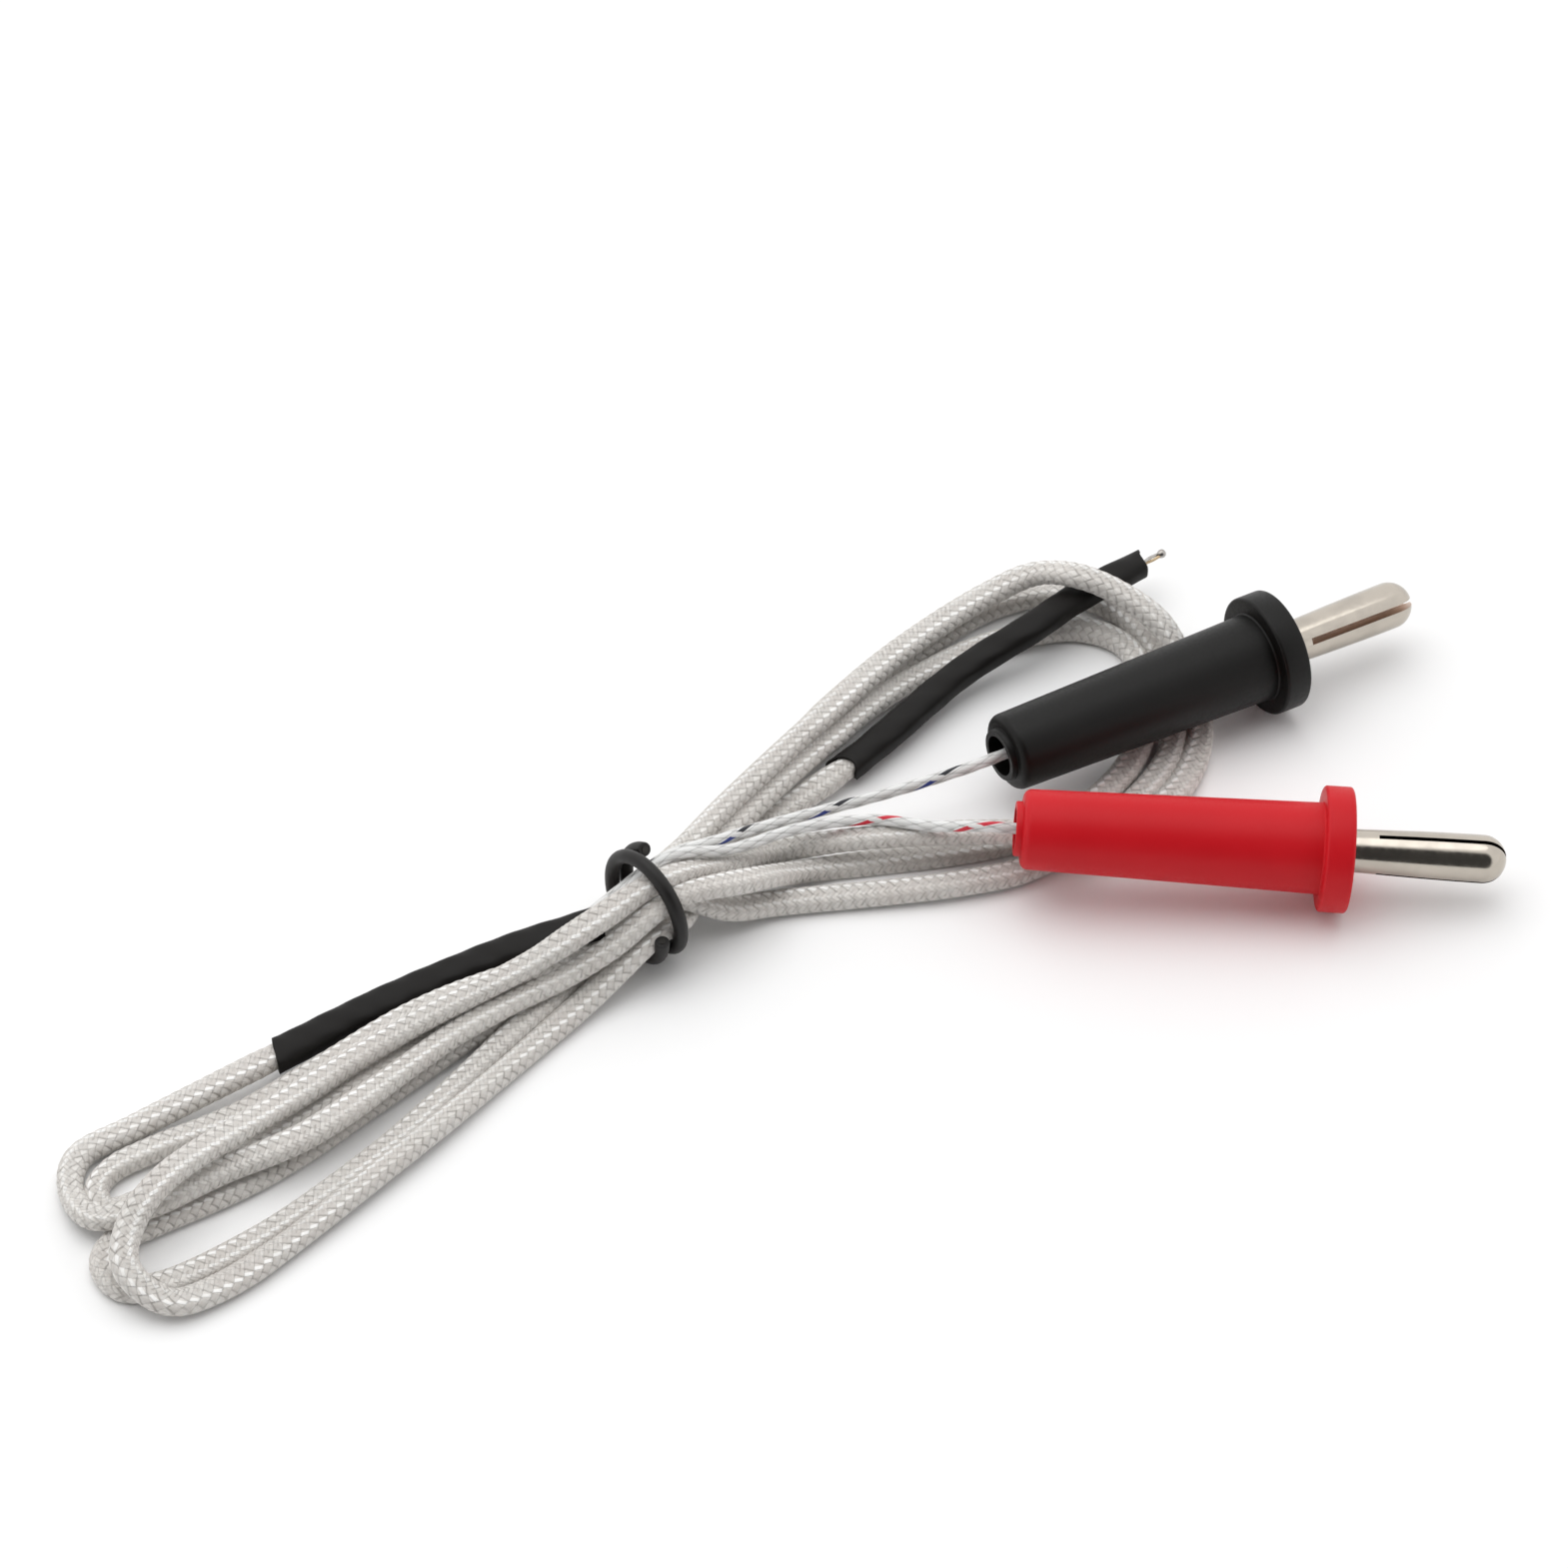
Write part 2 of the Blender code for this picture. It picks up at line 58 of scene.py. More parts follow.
# Route of the cable in millimetres, from the tip sleeve's mouth to the split sleeve's far end
CABLE_ROUTE = [
    (23.6, 29.9, 3.61), (17.6, 25.2, 3.86), (13.6, 21.3, 3.95), (7.3, 17.2, 2.43),
    (-2.8, 6.2, 1.65), (-13.0, -2.9, 0.86), (-17.2, -8.7, 0.86), (-20.1, -15.1, 2.83),
    (-23.5, -16.7, 0.88), (-28.4, -21.6, 1.19), (-42.4, -39.2, 1.04), (-53.8, -50.1, 0.86),
    (-60.1, -54.0, 0.86), (-63.3, -54.4, 0.86), (-65.1, -51.9, 0.86), (-64.4, -49.4, 0.86),
    (-61.2, -47.3, 0.86), (-52.1, -41.5, 0.86), (-36.1, -26.8, 1.18), (-25.9, -16.2, 1.04),
    (-21.2, -13.4, 2.97), (-17.8, -6.0, 2.24), (-9.4, 5.9, 1.03), (5.4, 23.4, 0.98),
    (11.3, 27.7, 0.86), (16.7, 28.9, 0.86), (21.8, 26.2, 0.86), (25.7, 18.8, 0.86),
    (26.1, 10.9, 0.86), (23.5, 4.1, 0.86), (13.0, -5.7, 0.86), (6.9, -8.0, 1.12),
    (-9.5, -10.5, 1.16), (-13.3, -12.4, 2.52), (-19.4, -14.6, 5.88), (-22.8, -17.3, 3.08),
    (-32.0, -21.7, 3.96), (-40.2, -26.1, 3.95), (-54.3, -34.8, 0.87), (-61.9, -39.1, 0.91),
    (-65.1, -41.3, 0.86), (-66.3, -43.7, 0.86), (-65.3, -45.8, 0.86), (-62.1, -44.7, 0.86),
    (-42.6, -30.7, 2.07), (-29.6, -16.0, 0.94), (-20.5, -11.2, 4.66), (-13.6, -1.4, 4.42),
    (-6.5, 8.3, 4.09), (1.4, 19.0, 3.0), (9.6, 26.3, 3.2), (13.8, 27.5, 4.63), (17.5, 25.6, 6.25),
    (21.0, 24.6, 5.31), (25.2, 21.9, 3.57), (27.8, 16.7, 0.89), (28.3, 10.9, 0.87),
    (26.2, 3.9, 0.88), (21.0, -1.8, 1.48), (16.4, -3.9, 2.92), (10.3, -4.4, 3.78),
    (-2.0, -4.9, 3.48), (-10.0, -4.5, 1.4), (-13.4, -8.5, 4.01), (-19.4, -14.4, 8.02),
    (-24.8, -18.0, 6.8), (-30.5, -21.4, 5.0), (-40.0, -27.5, 4.14), (-50.4, -36.0, 3.66),
    (-60.3, -46.2, 5.14), (-62.8, -50.2, 3.97), (-63.0, -54.0, 3.03), (-59.6, -56.5, 1.64),
    (-55.2, -54.4, 1.06), (-40.8, -40.0, 1.35), (-26.1, -22.6, 1.22), (-19.7, -17.3, 4.39),
    (-17.4, -13.6, 2.81), (-15.6, -7.5, 3.4), (-4.1, 9.4, 2.34), (3.1, 18.0, 0.9),
    (11.9, 23.1, 0.86), (18.1, 24.2, 0.86), (22.1, 21.9, 0.86), (23.6, 15.7, 0.86),
    (21.7, 6.6, 0.89), (15.0, -1.0, 0.95), (8.2, -3.5, 0.86), (-6.8, -6.6, 1.17),
    (-11.9, -11.6, 5.13), (-18.5, -15.8, 7.01), (-23.4, -19.1, 4.78), (-27.2, -21.1, 3.35),
    (-35.4, -26.4, 2.88), (-48.8, -39.6, 3.31), (-55.8, -43.1, 2.71), (-61.8, -47.0, 2.72),
    (-66.0, -47.7, 1.97), (-68.4, -43.8, 0.97), (-68.0, -39.9, 0.87), (-63.4, -36.8, 1.24),
    (-52.1, -29.8, 2.31), (-43.3, -23.9, 2.5), (-32.5, -18.6, 3.51), (-24.5, -15.8, 4.33),
]

# Routes of the leads in millimetres, between the split sleeve and their plugs
LEAD_ROUTES = {
    "black": [(-19.0, -10.2, 6.63), (-14.8, -8.3, 6.62), (-9.0, -4.2, 4.9), (0.6, -0.3, 4.6)],
    "red": [
        (-18.9, -11.8, 8.06), (-13.4, -8.8, 6.12), (-7.3, -5.0, 4.9), (-1.1, -3.9, 4.8),
        (4.2, -5.5, 5.6),
    ],
}

# Where the cable, its sleeves and the leads start or stop along the cable's route
TIP_SLEEVE_LENGTH = 0.038
CABLE_START = 0.004
SPLIT_SLEEVE_LENGTH = 0.0325
SPLIT_SLEEVE_SET_BACK = 0.0008
SPLIT_POINT = 0.015
LEAD_START = 0.0014

# Half the cable's width inside each sleeve, and rings of the cable for one crossing of its braid
UNDER_TIP_SLEEVE = 0.00106
UNDER_SPLIT_SLEEVE = 0.00112
PER_PICK = 4

# How the leads leave the split, how high their yarns stand and how far into a plug they go
LEAD_SPREAD = 0.0006
LEAD_EXIT = 0.002
LEAD_RELIEF = 0.00004
LEAD_END = 0.0072
# Half the room that a lead takes beside the cable
LEAD_ROOM = 0.00046

# Bare wires: how far each lies from the middle, and how many half turns it makes
WIRE_SPREAD = 0.00026
WIRE_HALF_TURNS = 2.1

# How far along its lead each tracer's pattern starts
TRACER_STARTS = {"black": -0.0032, "red": 0.0007}
# Left of this the red tracer lies on the under side of its lead
RED_TRACER_SHOWS = -0.0048

# Plugs: centre of the flange's front face, then heading, tilt and first slot in degrees
PLUGS = {
    "black": ((0.0354, 0.017), 29.5, -1.2, 58.0),
    "red": ((0.0402, -0.0083), -1.3, -4.0, 2.0),
}
HOUSING_LENGTH = 0.0285
FLANGE_R = 0.0055
FLANGE_EDGE = 0.00025

# Slots: their start beyond the flange, their width as a share of the setting, and the colour
# inside them: painted shade in the red pin's slots and a lighter, painted brown light in the black
# pin's
SLOT_START = 0.0024
SLOT_WIDTHS = {"black": 1.5, "red": 1.0}
SLOT_PAINTED_LIGHT = {"black": (0.62, 0.49, 0.41, 1.0), "red": (0.035, 0.026, 0.020, 1.0)}

# Wire tie: its pitch is spread from the start to the end angle, in degrees. The coil starts a
# little before the one and goes on past the other, where its tail bends sideways.
TIE_CENTRE = (-0.0205, -0.0142, 0.00517)
TIE_BUNDLE_ANGLE = 37.0
TIE_COIL_R = 0.0045
TIE_PITCH = 0.0015
TIE_START_ANGLE = 62.0
TIE_END_ANGLE = -508.0
TIE_TAIL_START = -400.0
TIE_TAIL_BEND = 70.0
TIE_TAIL_ANGLE = -540.0
TIE_TAIL_SHIFT = 0.0005
TIE_LEAD_IN = 2.0
TIE_STEPS = 120

# Camera, worked out from the photograph
AIM = (-0.0088, 0.0053, 0.0)
DISTANCE = 0.62
ELEVATION = 45.0
VIEW_ANGLE = 12.79

# The lamp, and where the room's darker part lies
LAMP_PLACE = (-0.16, 0.14, 0.85)
LAMP_SIZE = 0.95
DARK_TOWARD = (0.05, -0.835, 0.55)


# Settings a user may change


def colour_property(name, description, default):
    return FloatVectorProperty(
        name=name, description=description, default=default, size=4, min=0.0, max=1.0,
        subtype="COLOR",
    )


def length_property(name, description, default):
    return FloatProperty(
        name=name, description=description, default=default, min=0.0, precision=5,
        subtype="DISTANCE", unit="LENGTH",
    )


class CableSettings(bpy.types.PropertyGroup):
    """Sizes and colours of the braided flat cable."""

    width: length_property("Width", "Width of the flat cable", 0.0025)
    thickness: length_property("Thickness", "Thickness of the flat cable", 0.00164)
    pick: length_property("Pick", "Length of one crossing of the braid", 0.00103)
    relief: length_property("Relief", "Height of the braid's yarns", 0.00005)
    rows: IntProperty(name="Rows", description="Yarn crossings round the cable", default=6, min=4)
    # Painted sheen: the two yarn colours are lit and shaded copies of one glass yarn, which tell
    # the two yarn families apart
    yarn: colour_property("Yarn", "Glass yarn that catches the light", (0.74, 0.71, 0.67, 1.0))
    shade: colour_property("Shaded yarn", "Glass yarn the other way", (0.61, 0.58, 0.545, 1.0))


class LeadSettings(bpy.types.PropertyGroup):
    """Sizes and colours of the two thin leads."""

    diameter: length_property("Diameter", "Diameter of a lead", 0.00100)
    pick: length_property("Pick", "Length of one crossing of the lead's braid", 0.0025)
    rows: IntProperty(name="Rows", description="Yarn crossings round a lead", default=4, min=4)
    blue: colour_property("Blue tracer", "Tracer of the black lead", (0.020, 0.040, 0.24, 1.0))
    black: colour_property("Dark tracer", "Its second tracer", (0.008, 0.009, 0.015, 1.0))
    red: colour_property("Red tracer", "Tracer of the red lead", (0.62, 0.008, 0.030, 1.0))


class SleeveSettings(bpy.types.PropertyGroup):
    """Sizes and colour of the heat-shrunk sleeves."""

    tip_width: length_property("Tip sleeve width", "Width of the tip sleeve", 0.00275)
    split_width: length_property("Split sleeve width", "Width of the split sleeve", 0.00300)
    thickness: length_property("Thickness", "Height of the flattened sleeves", 0.00215)
    wall: length_property("Wall", "Wall of the sleeves", 0.00022)
    scoop: length_property("Scoop", "How far the tip sleeve's rear is cut back", 0.0020)
    colour: colour_property("Colour", "Sleeve plastic", (0.0065, 0.0056, 0.0050, 1.0))


class TipSettings(bpy.types.PropertyGroup):
    """Sizes and colours of the bare wires and their weld bead."""

    wire: length_property("Wire", "Diameter of a bare wire", 0.00028)
    reach: length_property("Reach", "How far the wires stand out of the sleeve", 0.0020)
    bead: length_property("Bead", "Radius of the weld bead", 0.00042)
    chromel: colour_property("First alloy", "Slightly golden wire", (0.60, 0.47, 0.30, 1.0))
    alumel: colour_property("Second alloy", "Grey wire", (0.55, 0.54, 0.52, 1.0))


class PlugSettings(bpy.types.PropertyGroup):
    """Sizes and colours of the plugs."""

    rear_radius: length_property("Rear radius", "Radius of the housing at its rear", 0.0035)
    front_radius: length_property("Front radius", "Radius of the housing at its flange", 0.0040)
    flange: length_property("Flange", "Thickness of the flange", 0.0025)
    pin_length: length_property("Pin length", "Visible length of the pin", 0.0137)
    pin_radius: length_property("Pin radius", "Radius of the pin where it swells most", 0.00212)
    slot: length_property("Slot", "Width of the pin's slots", 0.00042)
    black: colour_property("Black plastic", "Black housing", (0.0034, 0.0030, 0.0025, 1.0))
    red: colour_property("Red plastic", "Red housing", (0.545, 0.0060, 0.012, 1.0))
    nickel: colour_property("Nickel", "Plating of the pins", (0.52, 0.475, 0.415, 1.0))


class TieSettings(bpy.types.PropertyGroup):
    """Sizes and colour of the wire tie."""

    diameter: length_property("Diameter", "Diameter of the rubber coat", 0.0013)
    core: length_property("Core", "Diameter of the steel wire inside", 0.0006)
    colour: colour_property("Colour", "Rubber of the tie", (0.0105, 0.0095, 0.0090, 1.0))


class StageSettings(bpy.types.PropertyGroup):
    """Floor and light."""

    floor: colour_property("Floor", "Colour of the plain floor", (0.94, 0.94, 0.94, 1.0))
    key: FloatProperty(name="Key light", description="Power of the lamp", default=2.8, min=0.0)
    fill: FloatProperty(name="Fill", description="Light all round", default=1.12, min=0.0)


GROUPS = {
    "lead_cable": CableSettings,
    "lead_wires": LeadSettings,
    "lead_sleeves": SleeveSettings,
    "lead_tip": TipSettings,
    "lead_plugs": PlugSettings,
    "lead_tie": TieSettings,
    "lead_stage": StageSettings,
}


def settings(name):
    return getattr(bpy.context.scene, name)


# Material nodes


class NodeWriter:
    """Adds nodes to one material, with the maths that the braids need."""

    def __init__(self, name):
        found = bpy.data.materials.get(name)
        self.new = found is None
        self.material = found or bpy.data.materials.new(name)
        self.material.use_nodes = True
        self.tree = self.material.node_tree
        self.shader = self.tree.nodes["Principled BSDF"]

    def node(self, kind, **values):
        made = self.tree.nodes.new(kind)
        for key, value in values.items():
            setattr(made, key, value)
        return made

    def link(self, source, target):
        self.tree.links.new(source, target)

    def maths(self, operation, first, second=None, third=None):
        made = self.node("ShaderNodeMath", operation=operation)
        for socket, value in zip(made.inputs, (first, second, third)):
            if value is None:
                continue
            if isinstance(value, (int, float)):
                socket.default_value = value
            else:
                self.link(value, socket)
        return made.outputs[0]

    def plus(self, first, second):
        return self.maths("ADD", first, second)

    def minus(self, first, second):
        return self.maths("SUBTRACT", first, second)

    def times(self, first, second):
        return self.maths("MULTIPLY", first, second)

    def size(self, value):
        return self.maths("ABSOLUTE", value)

    def wrap(self, value, limit):
        return self.maths("WRAP", value, limit, 0.0)

    def split(self, output):
        parted = self.node("ShaderNodeSeparateXYZ")
        self.link(self.place(output), parted.inputs["Vector"])
        return parted.outputs

    def ramp(self, value, low, high, start=0.0, end=1.0):
        made = self.node("ShaderNodeMapRange", interpolation_type="SMOOTHSTEP")
        self.link(value, made.inputs["Value"])
        made.inputs["From Min"].default_value = low
        made.inputs["From Max"].default_value = high
        made.inputs["To Min"].default_value = start
        made.inputs["To Max"].default_value = end
        return made.outputs["Result"]

    def mix(self, share, first, second):
        made = self.node("ShaderNodeMix", data_type="RGBA", blend_type="MIX")
        sockets = [s for s in made.inputs if s.enabled]
        for socket, value in zip(sockets, (share, first, second)):
            if hasattr(value, "is_linked"):
                self.link(value, socket)
            elif isinstance(value, (int, float)):
                socket.default_value = value
            else:
                socket.default_value = tuple(value)
        return next(s for s in made.outputs if s.enabled)

    def noise(self, vector, scale, detail=2.0, roughness=0.5):
        made = self.node("ShaderNodeTexNoise")
        self.link(vector, made.inputs["Vector"])
        made.inputs["Scale"].default_value = scale
        made.inputs["Detail"].default_value = detail
        made.inputs["Roughness"].default_value = roughness
        return made.outputs["Fac"]

    def place(self, output="Object"):
        return self.node("ShaderNodeTexCoord").outputs[output]

    def bump(self, height, distance, strength=1.0, before=None):
        made = self.node("ShaderNodeBump")
        made.inputs["Strength"].default_value = strength
        made.inputs["Distance"].default_value = distance
        self.link(height, made.inputs["Height"])
        if before is not None:
            self.link(before, made.inputs["Normal"])
        return made.outputs["Normal"]

    def set(self, **values):
        for name, value in values.items():
            socket = self.shader.inputs[name.replace("_", " ")]
            if hasattr(value, "is_linked"):
                self.link(value, socket)
            else:
                socket.default_value = value


def braid_nodes(made, across, along, fibres):
    """Yarn family, height, upper yarn and fibre lines; across and along count crossings."""
    turn = made.maths("COSINE", made.times(across, math.tau))
    run = made.maths("COSINE", made.times(along, math.tau))
    family = made.times(made.plus(turn, run), 0.5)
    height = made.maths("POWER", made.size(family), 0.6)
    forward = made.minus(across, along)
    backward = made.plus(across, along)
    on_top = made.ramp(family, -0.08, 0.08)
    line = made.node("ShaderNodeMix", data_type="FLOAT")
    made.link(on_top, line.inputs[0])
    made.link(backward, line.inputs[2])
    made.link(forward, line.inputs[3])
    hairs = made.maths("COSINE", made.times(line.outputs[0], math.tau * fibres))
    return family, height, on_top, hairs


def cable_material():
    cable = settings("lead_cable")
    made = NodeWriter("braided_glass")
    if not made.new:
        return made.material
    along, across, _ = made.split("UV")
    _, height, on_top, hairs = braid_nodes(made, across, along, 7.0)
    here = made.place("Object")
    patches = made.noise(here, 190.0, 3.0)
    fuzz = made.noise(here, 2600.0, 3.0, 0.6)
    # Painted sheen: in each crossing the upper yarn takes the lit colour and the other yarn the
    # shaded one
    yarn = made.mix(on_top, cable.shade, cable.yarn)
    lit = made.mix(made.ramp(fuzz, 0.35, 0.75, 0.0, 0.35), yarn, (0.80, 0.80, 0.785, 1.0))
    # Place within a row of crossings, where every second pair of rows is half a pick further on
    row = made.wrap(across, 3.0)
    stagger = made.times(made.maths("GREATER_THAN", row, 1.5), 0.5)
    picks = made.plus(along, made.plus(stagger, 0.5))
    share = made.minus(made.wrap(picks, 1.0), 0.5)
    within = made.wrap(made.plus(across, 0.5), 1.0)
    level = made.minus(within, 0.5)
    # Painted shade in the seams between the yarns: a zigzag along each row, stronger in some
    # places, and in the low corners between crossings
    slope = made.times(made.size(level), 0.95)
    slanted = made.plus(made.plus(picks, slope), 0.5)
    zigzag = made.wrap(slanted, 1.0)
    beyond = made.size(made.minus(zigzag, 0.5))
    uneven = made.ramp(made.noise(here, 520.0, 2.0), 0.40, 0.62, 0.30, 1.0)
    chevron = made.ramp(beyond, 0.02, 0.18, 0.66, 0.0)
    corner = made.ramp(height, 0.0, 0.30, 0.35, 0.0)
    seam = made.times(made.maths("MAXIMUM", chevron, corner), uneven)
    crevice_shade = made.mix(seam, lit, (0.33, 0.305, 0.28, 1.0))
    warm = made.mix(made.ramp(patches, 0.40, 0.64, 0.0, 0.30), crevice_shade, (0.60, 0.55, 0.515, 1.0))
    # Painted highlights: slanted floats of the yarn that faces the light, painted near white in a
    # row that wanders across the cable
    tilted = made.plus(level, made.times(share, 0.42))
    ends = made.minus(share, made.times(tilted, 0.6))
    reach = made.maths("DIVIDE", made.size(ends), 0.37)
    breadth = made.maths("DIVIDE", made.size(tilted), 0.19)
    lozenge = made.ramp(made.maths("MAXIMUM", reach, breadth), 1.15, 0.72)
    sway = made.maths("SINE", made.times(along, math.tau / 43.0))
    middle = made.plus(made.times(sway, 0.5), 1.5)
    beside = made.size(made.minus(row, middle))
    facing = made.times(lozenge, made.ramp(beside, 1.0, 0.35))
    painted_highlight = made.times(facing, made.ramp(patches, 0.34, 0.56, 0.55, 1.0))
    shining = made.mix(painted_highlight, warm, (0.98, 0.97, 0.95, 1.0))
    made.set(Base_Color=shining, Roughness=made.ramp(fuzz, 0.3, 0.8, 0.60, 0.42))
    lines = made.times(hairs, 0.12)
    raised = made.times(lozenge, 0.70)
    rounded = made.times(height, 0.5)
    woven = made.minus(rounded, made.times(chevron, 0.7))
    relief = made.plus(made.plus(woven, lines), raised)
    bumped = made.bump(relief, 0.00008, 0.9)
    made.set(Normal=made.bump(fuzz, 0.00003, 0.4, bumped))
    made.set(Sheen_Weight=0.15, Sheen_Roughness=0.4, Specular_IOR_Level=0.38)
    return made.material


def lead_material(side):
    wires = settings("lead_wires")
    made = NodeWriter(side + "_lead_braid")
    if not made.new:
        return made.material
    along, across, _ = made.split("UV")
    family, height, on_top, hairs = braid_nodes(made, across, along, 5.0)
    here = made.place("Object")
    fuzz = made.noise(here, 2200.0, 3.0, 0.6)
    # Painted sheen: the upper yarn in each crossing is painted lighter than the other
    yarn = made.mix(on_top, (0.68, 0.675, 0.66, 1.0), (0.80, 0.80, 0.79, 1.0))
    lit = made.mix(made.ramp(hairs, -0.4, 1.0, 0.0, 0.35), yarn, (0.92, 0.92, 0.91, 1.0))
    # Painted shade where the braid dips between its yarns
    crevice_shade = made.mix(made.ramp(height, 0.0, 0.45, 0.55, 0.0), lit, (0.36, 0.35, 0.34, 1.0))
    # One yarn in each turn carries the tracer, seen where it lies over the others
    forward = made.minus(across, along)
    nearest = made.wrap(made.plus(forward, 0.5), float(wires.rows))
    centred = made.size(made.minus(nearest, 0.5))
    narrow = made.ramp(centred, 0.30, 0.22)
    shows = made.times(narrow, made.ramp(family, -0.58, -0.35))
    if side == "red":
        edge = 0.0004
        where = made.split("Object")["X"]
        seen = made.ramp(where, RED_TRACER_SHOWS - edge, RED_TRACER_SHOWS + edge)
        shows = made.times(shows, seen)
    turn = made.wrap(made.plus(across, 0.5), float(wires.rows))
    second = made.ramp(turn, 0.98, 1.02)
    first_colour = wires.blue if side == "black" else wires.red
    second_colour = wires.black if side == "black" else wires.red
    tracer = made.mix(second, first_colour, second_colour)
    coloured = made.mix(shows, crevice_shade, tracer)
    made.set(Base_Color=coloured, Roughness=made.ramp(fuzz, 0.3, 0.8, 0.55, 0.36))
    relief = made.plus(height, made.times(hairs, 0.25))
    made.set(Normal=made.bump(relief, 0.00005, 0.8))
    made.set(Sheen_Weight=0.15, Sheen_Roughness=0.4)
    return made.material


def sleeve_material():
    sleeves = settings("lead_sleeves")
    made = NodeWriter("shrink_sleeve")
    if not made.new:
        return made.material
    here = made.place("Object")
    broad = made.noise(here, 420.0, 2.0)
    grain = made.noise(here, 5200.0, 2.0)
    patches = made.ramp(broad, 0.3, 0.7, 0.0, 0.5)
    soft = made.mix(patches, sleeves.colour, (0.011, 0.0096, 0.0088, 1.0))
    made.set(Base_Color=soft, Roughness=made.ramp(broad, 0.3, 0.7, 0.42, 0.56))
    made.set(Normal=made.bump(grain, 0.00001, 0.35, made.bump(broad, 0.00008, 0.5)))
    made.set(Specular_IOR_Level=0.17)
    return made.material


def plastic_material(side):
    plugs = settings("lead_plugs")
    made = NodeWriter(side + "_plastic")
    if not made.new:
        return made.material
    base = plugs.black if side == "black" else plugs.red
    light = (0.0065, 0.0062, 0.0057, 1.0) if side == "black" else (0.62, 0.0105, 0.018, 1.0)
    here = made.place("Object")
    broad = made.noise(here, 130.0, 2.0)
    grain = made.noise(here, 3800.0, 3.0)
    mottled = made.mix(made.ramp(broad, 0.35, 0.7, 0.0, 0.35), base, light)
    made.set(Base_Color=mottled, Roughness=made.ramp(grain, 0.3, 0.7, 0.40, 0.50))
    made.set(Normal=made.bump(grain, 0.00001, 0.25))
    made.set(Specular_IOR_Level=0.24 if side == "black" else 0.20)
    return made.material


def metal_material(name, colour, rough, heat=None):
    made = NodeWriter(name)
    if not made.new:
        return made.material
    fine = made.noise(made.place("Object"), 2200.0, 2.0, 0.5)
    broad = made.noise(made.place("Object"), 420.0, 2.0)
    darker = tuple(c * 0.80 for c in colour[:3]) + (1.0,)
    tone = made.mix(made.ramp(broad, 0.35, 0.7, 0.0, 0.6), tuple(colour), darker)
    if heat is not None:
        tone = made.mix(made.ramp(fine, 0.4, 0.7, 0.0, 0.5), tone, heat)
    made.set(Base_Color=tone, Metallic=1.0)
    made.set(Roughness=made.ramp(fine, 0.3, 0.75, rough, rough + 0.08))
    made.set(Normal=made.bump(fine, 0.000004, 0.12))
    return made.material


def rubber_material():
    tie = settings("lead_tie")
    made = NodeWriter("tie_rubber_skin")
    if not made.new:
        return made.material
    here = made.place("Object")
    broad = made.noise(here, 600.0, 2.0)
    grain = made.noise(here, 6000.0, 2.0)
    tone = made.mix(made.ramp(broad, 0.3, 0.7, 0.0, 0.5), tie.colour, (0.018, 0.0165, 0.0155, 1.0))
    made.set(Base_Color=tone, Roughness=made.ramp(broad, 0.3, 0.7, 0.40, 0.52))
    made.set(Normal=made.bump(grain, 0.000012, 0.3))
    made.set(Specular_IOR_Level=0.30)
    return made.material


# Shapes


def to_mesh(bm, mesh):
    """Write a bmesh to a mesh, or to a new one of that name, and smooth it."""
    if isinstance(mesh, str):
        mesh = bpy.data.meshes.new(mesh)
    bm.to_mesh(mesh)
    bm.free()
    mesh.shade_smooth()
    return mesh


def add_piece(name, mesh, *materials):
    piece = bpy.data.objects.new(name, mesh)
    for material in materials:
        mesh.materials.append(material)
    bpy.context.scene.collection.objects.link(piece)
    return piece


def smooth_curve(route, step=0.0004):
    """Fine points of a smooth curve through the route's own points."""
    knots = [Vector(point) for point in route]
    knots = [2 * knots[0] - knots[1]] + knots + [2 * knots[-1] - knots[-2]]
    fine = []
    for before, start, end, after in zip(knots, knots[1:], knots[2:], knots[3:]):
        t0 = 0.0
        t1 = t0 + math.sqrt((start - before).length)
        t2 = t1 + math.sqrt((end - start).length)
        t3 = t2 + math.sqrt((after - end).length)
        steps = max(1, math.ceil((end - start).length / step))
        for number in range(steps):
            t = t1 + (t2 - t1) * number / steps
            a1 = before.lerp(start, (t - t0) / (t1 - t0))
            a2 = start.lerp(end, (t - t1) / (t2 - t1))
            a3 = end.lerp(after, (t - t2) / (t3 - t2))
            b1 = a1.lerp(a2, (t - t0) / (t2 - t0))
            b2 = a2.lerp(a3, (t - t1) / (t3 - t1))
            fine.append(b1.lerp(b2, (t - t1) / (t2 - t1)))
    fine.append(knots[-2])
    return np.array(fine)


def lengths(points):
    return np.concatenate(([0.0], np.cumsum(np.linalg.norm(np.diff(points, axis=0), axis=1))))


def smoothed(values, width):
    padded = np.concatenate((np.full(width, values[0]), values, np.full(width, values[-1])))
    window = np.hanning(2 * width + 1)
    return np.convolve(padded, window / window.sum(), mode="same")[width:-width]


def smoothed_points(points, width):
    return np.stack([smoothed(points[:, axis], width) for axis in range(3)], axis=1)


def evenly(points, start, end, count, width=0):
    """count points along a curve between two distances from its beginning, smoothed if wanted."""
    distance = lengths(points)
    wanted = np.linspace(start, end, count)
    even = np.stack([np.interp(wanted, distance, points[:, axis]) for axis in range(3)], axis=1)
    return smoothed_points(even, width) if width else even


